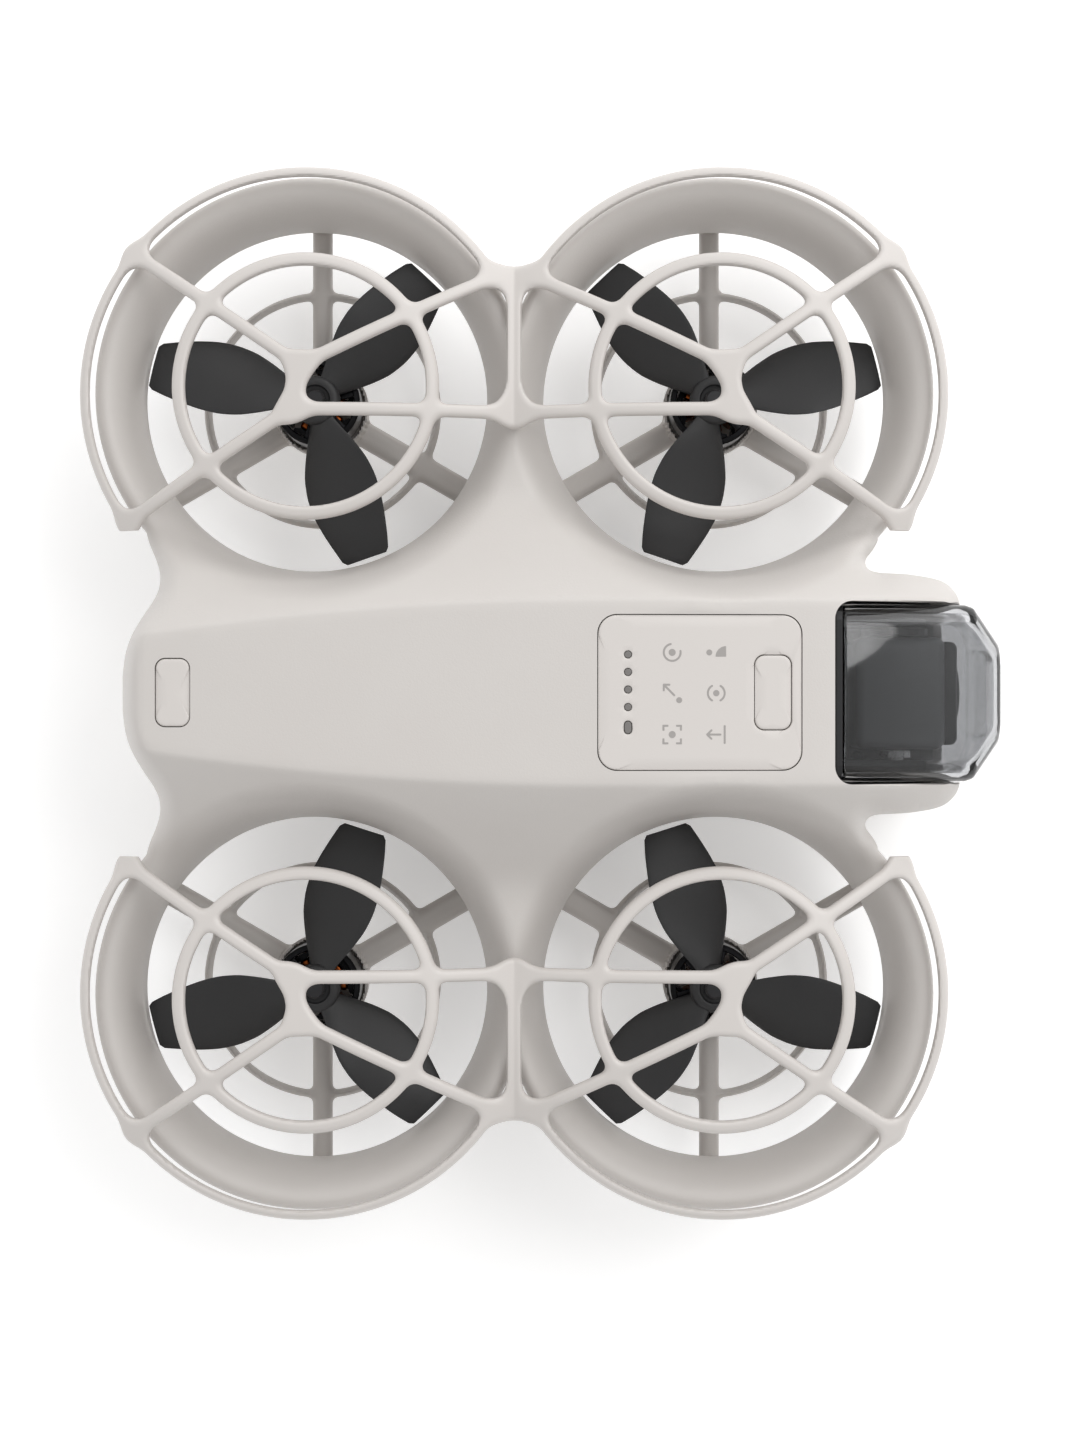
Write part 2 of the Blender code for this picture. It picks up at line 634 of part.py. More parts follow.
BLADE_STATIONS = ((2.4, 3.4, 0.2, 26, 1.5), (6.5, 7.6, 0.4, 30, 1.3), (11.0, 11.0, 0.6, 27, 1.1),
                  (15.5, 11.4, 0.6, 21, 0.9), (21.0, 8.8, 0.4, 17, 0.8), (PROP_R, 6.0, 0.2, 14, 0.7))


def blade(name, angle, hand, look, parent):
    """One blade: radius, chord, forward offset, pitch in degrees and thickness at each station."""
    rings = []
    for radius, chord, offset, pitch, thick in BLADE_STATIONS:
        section = ((-0.5, 0.0), (-0.2, 0.45), (0.25, 0.4), (0.5, 0.0), (0.25, -0.4), (-0.2, -0.35))
        ring = []
        for along, up in section:
            across = offset + along * chord * math.cos(math.radians(pitch)) * -1
            height = up * thick + along * chord * math.sin(math.radians(pitch))
            ring.append((radius, across * hand, height))
        rings.append(ring)
    made = loft(name, rings, look, parent)
    made.data.transform(Matrix.Rotation(math.radians(angle), 4, "Z") @ Matrix.Translation((0, 0, PROP_Z * MM)))
    weld(made)
    return made


def rotor(name, x, side):
    black = material("prop_plastic", CHARCOAL, 0.35)
    steel = material("motor_black", BLACK, 0.35, 0.6)
    copper = material("winding_copper", (0.55, 0.2, 0.07), 0.35, 1.0)
    shaft = material("shaft_steel", (0.5, 0.5, 0.5), 0.25, 1.0)
    spin = pivot(f"rotor_{name}_axis", (x, side * ROTOR_Y, 0))
    fixed = pivot(f"stator_{name}_centre", (x, side * ROTOR_Y, 0))
    sheet(f"stator_{name}", [star(9, 5.5, 2.6)], [circle((0, 0), 1.1, 8)],
          lambda u, v: 17.6, lambda u, v: 12.4, copper, parent=fixed)
    profile = [(6.6, 20.4), (6.6, 12.8), (5.9, 12.8), (5.9, 19.4), (0, 19.4), (0, 20.4)]
    turned(f"rotor_bell_{name}", profile, steel, spin)
    turned(f"shaft_{name}", [(0, 19.1), (0.75, 19.1), (0.75, 11.0), (0, 11.0)], shaft, spin, 10)
    hub = [(0, 20.7), (3.8, 20.7), (3.8, 23.6), (3.3, 24.2), (1.9, 24.2), (1.9, 23.2), (0, 23.2)]
    prop = turned(f"propeller_{name}", hub, black, spin)
    hand = side if x > 0 else -side
    for k in range(3):
        arm = blade(f"blade_{name}_{k}", BLADE_TURN[name] + 120 * k, hand, black, spin)
        boolean(prop, arm, "UNION")
    cap = [(0, 23.5), (1.5, 23.5), (1.5, 24.6), (1.2, 24.9), (0, 24.9)]
    turned(f"propeller_screw_{name}", cap, steel, spin, 12)


# ---------------------------------------------------------------- camera

def camera():
    black = material("camera_black", (0.02, 0.02, 0.022), 0.3)
    grey = material("camera_grey", (0.06, 0.06, 0.065), 0.35)
    x0, z0 = TILT_AXIS
    plate = rounded((0, 0), 2 * COVER_HALF, 28.0, 2.4)
    frame = loft("camera_frame", [[(x, y, z0 + z) for y, z in plate] for x in (42.7, 43.6)], black)
    window = box("board_way", (40, -5, 24), (46, 5, 29), black)
    boolean(frame, window, "DIFFERENCE")
    for side, name in ((1, "left"), (-1, "right")):
        low, high = sorted((side * 9.9, side * 11.3))
        arm = box(f"arm_{name}", (43.2, low, z0 - 4.5), (x0 + 4.0, high, z0 + 4.5), black)
        boolean(frame, arm, "UNION")
        hole = turned(f"arm_hole_{name}", [(0, -2), (1.6, -2), (1.6, 2), (0, 2)], black,
                      sides=12, axis="y", at=(x0, side * 10.6, z0))
        boolean(frame, hole, "DIFFERENCE")
    tilt = pivot("camera_tilt_axis", (x0, 0, z0))
    body = [rounded((0, 0), 13.2, 14.0, 2.6), rounded((0, 0), 10.8, 11.6, 1.6)]
    rings = [[(u, y, v) for u, v in body[k]] for y, k in ((-8.2, 1), (-7.2, 0), (7.2, 0), (8.2, 1))]
    loft("camera_housing", rings, grey, tilt)
    barrel = [(0, 6.9), (4.6, 6.9), (4.6, 8.6), (4.2, 9.0), (3.4, 9.0), (3.2, 8.0), (0, 8.0)]
    turned("lens_barrel", barrel, black, tilt, 24, axis="x")
    glass = material("lens_glass", (0.01, 0.01, 0.02), 0.05)
    turned("lens_glass", [(0, 8.3), (2.8, 8.3), (2.8, 8.5), (1.8, 8.8), (0, 8.9)], glass, tilt, 20, axis="x")
    motor = [(0, 8.5), (5.0, 8.5), (5.0, 9.6), (1.3, 9.6), (1.3, 11.2), (0, 11.2)]
    turned("tilt_motor", motor, black, tilt, 20, axis="y")
    pin = [(0, -11.2), (1.3, -11.2), (1.3, -9.5), (2.4, -9.5), (2.4, -8.5), (0, -8.5)]
    turned("tilt_pin", pin, material("shaft_steel", (0.5, 0.5, 0.5), 0.25, 1.0), tilt, 12, axis="y")


def cover_plan(inset, rear):
    """The cover from above: straight sides and a nose with cut corners."""
    half = COVER_HALF - inset
    nose = NOSE_X - inset
    cut = inset * 0.45
    return [(rear, -half), (63.4 - cut, -half), (nose, -7.5 + cut), (nose, 7.5 - cut),
            (63.4 - cut, half), (rear, half)]


def cover_side(inset, rear):
    """The cover from its right side."""
    nose = NOSE_X - inset
    cut = inset * 0.45
    return [(rear, 17.0 + inset), (61.5 - cut, 17.0 + inset), (nose, 23.0 + cut),
            (nose, 35.0 - cut), (62.5 - cut, 42.3 - inset), (rear, 45.2 - inset)]


def cover_solid(name, inset, rear, look, parent):
    plan = [(x - COVER_X, y) for x, y in cover_plan(inset, rear)]
    made = prism(name, plan, 10, 50, look, parent)
    side = [(x - COVER_X, z) for x, z in cover_side(inset, rear)]
    cutter = loft(f"{name}_side", [[(x, y, z) for x, z in side] for y in (-20, 20)], look, parent)
    boolean(made, cutter, "INTERSECT")
    return made


def camera_cover():
    look = material("clear_cover", (0.25, 0.26, 0.27), 0.05, 0.0, 0.3)
    slide = pivot("camera_cover_slide", (COVER_X, 0, 0))
    cover = cover_solid("camera_cover", 0.0, COVER_X, look, slide)
    hollow = cover_solid("cover_hollow", COVER_WALL, COVER_X - 5, look, slide)
    boolean(cover, hollow, "DIFFERENCE")


def build():
    clear_scene()
    upper_shell()
    lower_shell()
    belly_parts()
    frame_and_board()
    battery()
    control_panel()
    buttons()
    guards()
    for name, x, side in rotor_places():
        motor_mount(name, x, side)
        rotor(name, x, side)
    camera()
    camera_cover()


build()
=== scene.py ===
"""Palm-size ducted quadcopter in moulded warm grey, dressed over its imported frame."""
import math

import bpy
import numpy as np
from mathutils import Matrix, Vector
from mathutils.geometry import delaunay_2d_cdt


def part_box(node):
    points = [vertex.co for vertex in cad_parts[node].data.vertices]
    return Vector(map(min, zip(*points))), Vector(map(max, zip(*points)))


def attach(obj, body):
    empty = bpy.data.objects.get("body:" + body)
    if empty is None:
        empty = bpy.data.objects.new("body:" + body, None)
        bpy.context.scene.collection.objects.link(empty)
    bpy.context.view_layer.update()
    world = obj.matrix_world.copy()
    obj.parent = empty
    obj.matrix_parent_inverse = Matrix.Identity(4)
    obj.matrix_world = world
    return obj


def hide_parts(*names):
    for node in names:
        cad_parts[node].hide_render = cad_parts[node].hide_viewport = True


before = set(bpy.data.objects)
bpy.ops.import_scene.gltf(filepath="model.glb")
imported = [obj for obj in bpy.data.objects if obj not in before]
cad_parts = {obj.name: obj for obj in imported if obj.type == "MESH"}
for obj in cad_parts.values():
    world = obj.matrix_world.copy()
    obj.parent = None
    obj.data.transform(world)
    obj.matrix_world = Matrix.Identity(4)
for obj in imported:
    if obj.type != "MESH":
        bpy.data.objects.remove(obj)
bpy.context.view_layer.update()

MM = 0.001
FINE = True


def corner_mm(node, which):
    return np.array(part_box(node)[which]) / MM


def middle_mm(node):
    return (corner_mm(node, 0) + corner_mm(node, 1)) / 2


# Places and sizes read from the frame, mm
ROTORS = {f"{x}_{y}": middle_mm(f"rotor_bell_{x}_{y}")[:2]
          for x in ("rear", "front") for y in ("left", "right")}
ROTOR_Y = float(ROTORS["rear_left"][1])
MIDDLE_X = float((ROTORS["rear_left"][0] + ROTORS["front_left"][0]) / 2)
SHELL_LOW, SHELL_HIGH = corner_mm("upper_shell", 0), corner_mm("upper_shell", 1)
COVER_LOW, COVER_HIGH = corner_mm("camera_cover", 0), corner_mm("camera_cover", 1)
PANEL_LOW, PANEL_HIGH = corner_mm("control_panel", 0), corner_mm("control_panel", 1)

TOP = float(SHELL_HIGH[2])
THROAT_R = 26.0
THROAT_Z = 22.0
LIP_R = 32.0
LIP_Z = 33.0
EDGE_Z = 31.5
EDGE_ROUND = 4.0
SKIN = 1.6
DUCT_WALL = 1.3
DUCT_FOOT_Z = float(SHELL_LOW[2])
RIDGE_Z = 34.2
BAY_HALF = 13.2
BAY_X = 42.4
RIM_R = 32.6
RIM_SHIFT = 0.43
GUARD_TOP = float(corner_mm("guard_left", 1)[2]) - 1.0
GUARD_DROP = 7.4
CROSSBAR_Y = 41.1
RIM_HALF = 0.73             # half widths of the guard's bars
SPOKE_HALF = 0.93
GUARD_RING_R = 18.45
MOUTH_SPAN = 2.2            # how far past the throat the mouth's underside hangs low
MOUNT_REACH = 28.3          # mount struts, ring and cup
MOUNT_RING_R = 17.9
CUP_R = 7.3
RING_TOP_Z = 19.3           # flared ring below the duct
RING_FOOT_Z = 8.4
RING_WIDENS = 0.04
RING_LEANS = 1.1
PROPELLER_Z = 22.6


# ---------------------------------------------------------------- materials

def linear(code):
    """An sRGB hex colour as linear numbers."""
    parts = [int(code[i:i + 2], 16) / 255 for i in (1, 3, 5)]
    return tuple(p / 12.92 if p <= 0.04045 else ((p + 0.055) / 1.055) ** 2.4 for p in parts) + (1.0,)


def add(tree, kind, settings=None, links=None):
    """A node with its settings, and its inputs linked from sockets or set to values."""
    node = tree.nodes.new(kind)
    for key, value in (settings or {}).items():
        setattr(node, key, value)
    for key, value in (links or {}).items():
        if isinstance(value, bpy.types.NodeSocket):
            tree.links.new(value, node.inputs[key])
        else:
            node.inputs[key].default_value = value
    return node


def blank(name, colour, rough, metal=0.0):
    made = bpy.data.materials.new(name)
    made.use_nodes = True
    shader = made.node_tree.nodes["Principled BSDF"]
    shader.inputs["Base Color"].default_value = linear(colour)
    shader.inputs["Roughness"].default_value = rough
    shader.inputs["Metallic"].default_value = metal
    return made, made.node_tree, shader


def moulded(name, colour, shade, rough, grain_mm=0.35, grain_depth=0.012, ior=1.5):
    """Injection-moulded plastic: a spark-eroded grain, faint flow tone and a breath of sheen variation."""
    made, tree, shader = blank(name, colour, rough)
    shader.inputs["IOR"].default_value = ior
    place = add(tree, "ShaderNodeTexCoord").outputs["Object"]
    flow = add(tree, "ShaderNodeTexNoise", None,
               {"Vector": place, "Scale": 1 / (18 * MM), "Detail": 3.0, "Roughness": 0.5})
    tone = add(tree, "ShaderNodeMix", {"data_type": "RGBA"}, {
        "Factor": flow.outputs["Fac"], "A": linear(colour), "B": linear(shade)})
    tree.links.new(tone.outputs["Result"], shader.inputs["Base Color"])
    grain = add(tree, "ShaderNodeTexNoise", None,
                {"Vector": place, "Scale": 1 / (grain_mm * MM), "Detail": 4.0, "Roughness": 0.65})
    gloss = add(tree, "ShaderNodeMapRange", None, {
        "Value": grain.outputs["Fac"], "From Min": 0.3, "From Max": 0.7,
        "To Min": rough - 0.06, "To Max": rough + 0.08})
    tree.links.new(gloss.outputs["Result"], shader.inputs["Roughness"])
    bump = add(tree, "ShaderNodeBump", None, {
        "Height": grain.outputs["Fac"], "Strength": 0.5, "Distance": grain_depth * MM})
    tree.links.new(bump.outputs["Normal"], shader.inputs["Normal"])
    return made


def make_materials():
    made = {}
    # ABS shell, fine spark-eroded tool texture: soft highlights that break up over the curves
    made["shell"] = moulded("moulded_abs_warm_grey", "#CECAC6", "#C9C4C0", 0.46, 0.32, 0.05)
    # PC guard, smoother tool: a slightly tighter highlight along the bars
    made["guard"] = moulded("moulded_polycarbonate_guard", "#D0CBC7", "#CCC7C3", 0.4, 0.25, 0.008)
    # ABS plate with the same texture, a shade lighter than the shell round it
    made["panel"] = moulded("moulded_abs_panel", "#D2CDC9", "#CFCAC6", 0.48, 0.3, 0.015)
    # pad-printed ink: flat mid grey
    made["ink"] = moulded("pad_print_ink", "#A39F9C", "#9C9895", 0.6, 0.4, 0.004)
    # glass-filled nylon blades: near black with a satin sheen that follows the twist
    made["blade"] = moulded("glass_filled_nylon_black", "#232324", "#2A2A2B", 0.5, 0.22, 0.006)
    made["black"] = moulded("moulded_black_plastic", "#141416", "#19191B", 0.4, 0.3, 0.008)
    made["camera_grey"] = moulded("satin_grey_camera_case", "#6E6F71", "#626365", 0.3, 0.25, 0.003)
    # clear light guide tips, unlit
    made["light_guide"] = moulded("frosted_light_guide", "#7D7A78", "#74716F", 0.35, 0.4, 0.004)
    made["board"] = moulded("solder_mask_green", "#12301F", "#183B27", 0.4, 1.2, 0.02)
    made["anodised"], tree, shader = blank("black_anodised_aluminium", "#1C1C1E", 0.32, 0.85)
    turn_marks(tree, shader, 0.32, 0.25)
    made["steel"], tree, shader = blank("ground_steel", "#A9A9A8", 0.28, 1.0)
    turn_marks(tree, shader, 0.28, 0.2)
    made["screw"], tree, shader = blank("blackened_screw_steel", "#4A4A4C", 0.36, 1.0)
    turn_marks(tree, shader, 0.36, 0.3)
    made["alloy"], tree, shader = blank("stamped_aluminium", "#9EA0A2", 0.42, 1.0)
    turn_marks(tree, shader, 0.42, 0.8)
    made["copper"] = copper_wire()
    made["lens"] = coated_glass()
    made["clear"] = smoked_cover()
    return made


def turn_marks(tree, shader, rough, grain_mm):
    """Tool marks that vary a metal's gloss."""
    place = add(tree, "ShaderNodeTexCoord").outputs["Object"]
    marks = add(tree, "ShaderNodeTexNoise", None,
                {"Vector": place, "Scale": 1 / (grain_mm * MM), "Detail": 3.0})
    gloss = add(tree, "ShaderNodeMapRange", None, {
        "Value": marks.outputs["Fac"], "To Min": rough - 0.1, "To Max": rough + 0.12})
    tree.links.new(gloss.outputs["Result"], shader.inputs["Roughness"])


def copper_wire():
    """Enamelled copper winding, one wire apart: painted shade darkens the grooves between turns and painted
    highlight lightens the ridges.
    """
    made, tree, shader = blank("enamelled_copper_wire", "#B5602C", 0.3, 1.0)
    place = add(tree, "ShaderNodeTexCoord").outputs["Object"]
    turns = add(tree, "ShaderNodeTexWave", {"bands_direction": "Z"},
                {"Vector": place, "Scale": 1 / (0.35 * MM) / 6.28, "Distortion": 0.4})
    # painted shade and painted highlight: the colour follows the bump bands, dark brown in the grooves and
    # bright orange on the ridges
    tone = add(tree, "ShaderNodeMix", {"data_type": "RGBA"}, {
        "Factor": turns.outputs["Fac"], "A": linear("#7A3414"), "B": linear("#C8743A")})
    tree.links.new(tone.outputs["Result"], shader.inputs["Base Color"])
    bump = add(tree, "ShaderNodeBump", None, {
        "Height": turns.outputs["Fac"], "Strength": 0.8, "Distance": 0.1 * MM})
    tree.links.new(bump.outputs["Normal"], shader.inputs["Normal"])
    return made


def coated_glass():
    """Coated lens glass: black depth with a violet-blue bloom on the surface."""
    made, tree, shader = blank("coated_lens_glass", "#08080C", 0.04)
    shader.inputs["IOR"].default_value = 1.6
    shader.inputs["Coat Weight"].default_value = 1.0
    shader.inputs["Coat Roughness"].default_value = 0.02
    edge = add(tree, "ShaderNodeLayerWeight", None, {"Blend": 0.4})
    tone = add(tree, "ShaderNodeMix", {"data_type": "RGBA"}, {
        "Factor": edge.outputs["Facing"], "A": linear("#08080C"), "B": linear("#1E2440")})
    tree.links.new(tone.outputs["Result"], shader.inputs["Base Color"])
    return made


def smoked_cover():
    """Clear polycarbonate with a light grey tint: dark, bright-lined edges where the walls turn."""
    made, tree, shader = blank("smoked_polycarbonate", "#BDBEC0", 0.05)
    shader.inputs["IOR"].default_value = 1.5
    shader.inputs["Transmission Weight"].default_value = 1.0
    place = add(tree, "ShaderNodeTexCoord").outputs["Object"]
    wave = add(tree, "ShaderNodeTexNoise", None,
               {"Vector": place, "Scale": 1 / (6 * MM), "Detail": 1.0, "Roughness": 0.4})
    bump = add(tree, "ShaderNodeBump", None, {
        "Height": wave.outputs["Fac"], "Strength": 0.2, "Distance": 0.05 * MM})
    tree.links.new(bump.outputs["Normal"], shader.inputs["Normal"])
    return made


# ---------------------------------------------------------------- mesh helpers

def solid(name, corners, faces, look, body, sharp=35):
    """One finished piece from corners in mm, smooth but for edges sharper than the angle."""
    mesh = bpy.data.meshes.new(name)
    mesh.from_pydata((np.asarray(corners, float) * MM).tolist(), [], faces)
    mesh.materials.append(look)
    made = bpy.data.objects.new(name, mesh)
    bpy.context.collection.objects.link(made)
    pick(made)
    bpy.ops.object.mode_set(mode="EDIT")
    bpy.ops.mesh.select_all(action="SELECT")
    bpy.ops.mesh.normals_make_consistent(inside=False)
    bpy.ops.object.mode_set(mode="OBJECT")
    bpy.ops.object.shade_smooth_by_angle(angle=math.radians(sharp))
    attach(made, body)
    return made


def pick(*things):
    bpy.ops.object.select_all(action="DESELECT")
    for thing in things:
        thing.select_set(True)
    bpy.context.view_layer.objects.active = things[0]


def smin(a, b, blend):
    """The smaller of two distances, rounded where they meet, which makes a moulded fillet."""
    share = np.clip(0.5 + 0.5 * (b - a) / blend, 0, 1)
    return b * (1 - share) + a * share - blend * share * (1 - share)


def bar_distance(x, y, a, b):
    """Distance to a straight line between two points."""
    along = np.subtract(b, a)
    share = np.clip(((x - a[0]) * along[0] + (y - a[1]) * along[1]) / (along @ along), 0, 1)
    return np.hypot(x - a[0] - share * along[0], y - a[1] - share * along[1])


def arc_distance(x, y, centre, radius, start, stop):
    """Distance to an arc between two angles in degrees, anticlockwise."""
    dx, dy = x - centre[0], y - centre[1]
    turn = np.degrees(np.arctan2(dy, dx)) - start
    inside = np.mod(turn, 360) <= stop - start
    ends = [(centre[0] + radius * math.cos(math.radians(a)), centre[1] + radius * math.sin(math.radians(a)))
            for a in (start, stop)]
    off_end = np.minimum(*[np.hypot(x - e[0], y - e[1]) for e in ends])
    return np.where(inside, np.abs(np.hypot(dx, dy) - radius), off_end)


def rounding(depth, radius):
    """How far a rounded edge has dropped at a depth inside the outline."""
    rest = np.clip(radius - depth, 0, radius)
    return radius - np.sqrt(radius ** 2 - rest ** 2)


def sheet_from_field(name, field, top, bottom, low, high, step, look, body):
    """A closed sheet where the field is negative, between two height functions of x, y and depth."""
    xs = np.arange(low[0], high[0] + step, step)
    ys = np.arange(low[1], high[1] + step, step)
    gx, gy = np.meshgrid(xs, ys, indexing="ij")
    value = field(gx, gy)
    value[np.abs(value) < 1e-6] = 1e-6
    inside = value < 0
    points, index, faces = [], {}, []

    def node(i, j):
        key = (i, j)
        if key not in index:
            index[key] = len(points)
            points.append((xs[i], ys[j]))
        return index[key]

    def crossing(p, q):
        key = (min(p, q), max(p, q))
        if key not in index:
            p, q = key
            share = np.clip(value[p] / (value[p] - value[q]), 0.06, 0.94)
            index[key] = len(points)
            points.append((xs[p[0]] + share * (xs[q[0]] - xs[p[0]]),
                           ys[p[1]] + share * (ys[q[1]] - ys[p[1]])))
        return index[key]

    filled = inside[:-1, :-1] | inside[1:, :-1] | inside[1:, 1:] | inside[:-1, 1:]
    for i, j in np.argwhere(filled):
        ring = [(i, j), (i + 1, j), (i + 1, j + 1), (i, j + 1)]
        face = []
        for k in range(4):
            here, after = tuple(map(int, ring[k])), tuple(map(int, ring[(k + 1) % 4]))
            if inside[here]:
                face.append(node(*here))
            if inside[here] != inside[after]:
                face.append(crossing(here, after))
        faces.append(face)
    return close_sheet(name, np.array(points), faces, field, top, bottom, look, body)


def close_sheet(name, flat, faces, field, top, bottom, look, body):
    """Gives a flat net of faces its two surfaces and the wall between them."""
    x, y = flat[:, 0], flat[:, 1]
    depth = np.maximum(-field(x, y), 0) if field else np.zeros(len(x))
    count = len(flat)
    corners = np.vstack([np.column_stack([x, y, top(x, y, depth)]),
                         np.column_stack([x, y, bottom(x, y, depth)])])
    sides = {(f[k], f[(k + 1) % len(f)]) for f in faces for k in range(len(f))}
    rims = [(a, b) for a, b in sides if (b, a) not in sides]
    every = list(faces) + [[i + count for i in f[::-1]] for f in faces]
    every += [[b, a, a + count, b + count] for a, b in sorted(rims)]
    return solid(name, corners, every, look, body)


def mirrored(source, name, body):
    """The same piece on the drone's other side."""
    pick(source)
    bpy.ops.object.duplicate()
    made = bpy.context.object
    made.name = made.data.name = name
    bpy.ops.object.mode_set(mode="EDIT")
    bpy.ops.mesh.select_all(action="SELECT")
    bpy.ops.transform.resize(value=(1, -1, 1), center_override=(0, 0, 0))
    bpy.ops.mesh.flip_normals()
    bpy.ops.object.mode_set(mode="OBJECT")
    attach(made, body)
    return made


# ---------------------------------------------------------------- upper shell

def bell(share):
    """Quarter ellipse: upright at 0, level at 1."""
    return np.sqrt(1 - (1 - np.clip(share, 0, 1)) ** 2)


def crown(x):
    """Height of the body's top along its middle."""
    nose = np.maximum(x - 38.0, 0)
    tail = np.maximum(-57.0 - x, 0)
    return TOP - 0.0009 * (x + 5.0) ** 2 - 0.012 * nose ** 2 - 0.25 * tail ** 2


def plateau_half(x):
    return 13.3 - 5.4 * np.clip((10.0 - x) / 70.0, 0, 1) ** 2


def soft_max(values, blend):
    return blend * np.logaddexp.reduce([v / blend for v in np.broadcast_arrays(*values)], axis=0)


TAIL_EDGE = [(-61.6, 2.5), (-61.1, 5.8), (-60.1, 8.6), (-58.6, 11.3), (-57.0, 13.8), (-56.2, 16.0),
             (-56.4, 18.6), (-57.9, 22.4), (-58.7, 25.6)]
NOSE_EDGE = [(51.6, 26.0), (50.0, 22.0), (48.4, 19.6), (49.6, 18.1), (55.0, 17.7),
             (59.6, 16.8), (61.8, 15.0), (62.5, 13.0)]


def smooth_line(points, pieces=5):
    """A round curve through points."""
    p = [np.array(points[0])] + [np.array(q) for q in points] + [np.array(points[-1])]
    line = []
    for k in range(1, len(p) - 2):
        for i in range(pieces):
            t = i / pieces
            line.append(tuple(0.5 * (2 * p[k] + (p[k + 1] - p[k - 1]) * t
                                     + (2 * p[k - 1] - 5 * p[k] + 4 * p[k + 1] - p[k + 2]) * t ** 2
                                     + (3 * p[k] - p[k - 1] - 3 * p[k + 1] + p[k + 2]) * t ** 3)))
    return line + [tuple(points[-1])]


def lip_arc(centre, start, stop):
    """Points along a duct's lip, clockwise between two angles in degrees."""
    count = max(int((start - stop) / (1.8 if FINE else 3.6)), 2)
    angles = np.radians(np.linspace(start, stop, count + 1))
    return [(centre[0] + LIP_R * math.cos(a), centre[1] + LIP_R * math.sin(a)) for a in angles]


def outer_edge():
    """The shell's outer edge: tail, the lips of two ducts and nose, down one side and back up the other."""
    rear, front = ROTORS["rear_left"], ROTORS["front_left"]
    tail = [p for p in smooth_line(TAIL_EDGE) if math.dist(p, rear) > LIP_R]
    nose = [p for p in smooth_line(NOSE_EDGE) if math.dist(p, front) > LIP_R]
    enter = math.degrees(math.atan2(tail[-1][1] - rear[1], tail[-1][0] - rear[0])) % 360
    leave = math.degrees(math.atan2(nose[0][1] - front[1], nose[0][0] - front[0]))
    notch = math.degrees(math.acos((front[0] - rear[0]) / 2 / LIP_R))
    left = tail + lip_arc(rear, enter - 0.4, notch) + lip_arc(front, 180 - notch, leave + 0.4)[1:] + nose
    return left + [(x, -y) for x, y in left[::-1]]


EDGE = np.array(outer_edge())


def edge_distance(x, y):
    """Distance from the shell's outer edge."""
    step = np.roll(EDGE, -1, axis=0) - EDGE
    flat = np.column_stack([np.ravel(x), np.ravel(y)])
    near = []
    for part in np.array_split(flat, 1 + len(flat) // 2000):
        off = part[:, None] - EDGE
        share = np.clip((off * step).sum(2) / (step ** 2).sum(1), 0, 1)
        near.append(((off - share[..., None] * step) ** 2).sum(2).min(1))
    return np.sqrt(np.concatenate(near)).reshape(np.shape(x))


def edge_rows():
    """Rows of points just inside the outer edge, where it rounds over fastest."""
    along = np.roll(EDGE, -1, axis=0) - np.roll(EDGE, 1, axis=0)
    inward = np.column_stack([along[:, 1], -along[:, 0]]) / np.hypot(*along.T)[:, None]
    rows = []
    for depth in (0.08, 0.22, 0.45, 0.85):
        spots = EDGE + depth * inward
        rows += [tuple(p) for p in spots[edge_distance(*spots.T) > 0.95 * depth]]
    return rows


def shell_top(x, y):
    """Height of the upper shell: flat-topped body, saddles and bell mouths in one skin."""
    x, y = np.asarray(x, float), np.asarray(y, float)
    side = np.abs(y) - plateau_half(x)
    body = crown(x) - 0.9 * soft_max([0.0, side], 0.25)
    ridge = RIDGE_Z - 0.05 * (x - MIDDLE_X) ** 2
    height = soft_max([body, ridge, LIP_Z], 1.2)
    for centre in ROTORS.values():
        away = np.hypot(x - centre[0], y - centre[1]) - THROAT_R
        height = THROAT_Z + (height - THROAT_Z) * bell(away / (LIP_R - THROAT_R))
    rise = np.maximum(height - EDGE_Z, 0)
    return height - rise * (1 - bell(edge_distance(x, y) / EDGE_ROUND))


def shell_under(x, y):
    here = shell_top(x, y)
    slope = np.hypot(shell_top(x + 0.05, y) - here, shell_top(x, y + 0.05) - here) / 0.05
    under = here - SKIN * np.sqrt(1 + np.minimum(slope, 3.0) ** 2)
    away = np.min([np.hypot(x - c[0], y - c[1]) for c in ROTORS.values()], axis=0) - THROAT_R
    under = np.maximum(under, np.where(away < MOUTH_SPAN, DUCT_FOOT_Z, EDGE_Z - SKIN))
    return np.where(away < DUCT_WALL + 0.03, DUCT_FOOT_Z, under)


def ring_points(centre, radius, count):
    angles = np.arange(count) * 2 * math.pi / count
    return [(centre[0] + radius * math.cos(a), centre[1] + radius * math.sin(a)) for a in angles]


def rounded(centre, length, width, radius, count=10):
    """A rectangle with round corners, anticlockwise."""
    points = []
    for sx, sy, start in ((1, 1, 0), (-1, 1, 90), (-1, -1, 180), (1, -1, 270)):
        hub = (centre[0] + sx * (length / 2 - radius), centre[1] + sy * (width / 2 - radius))
        for k in range(count + 1):
            a = math.radians(start + 90 * k / count)
            points.append((hub[0] + radius * math.cos(a), hub[1] + radius * math.sin(a)))
    return points


def anticlockwise(loop):
    p = np.array(loop)
    q = np.roll(p, -1, axis=0)
    return loop if (p[:, 0] * q[:, 1] - q[:, 0] * p[:, 1]).sum() > 0 else loop[::-1]


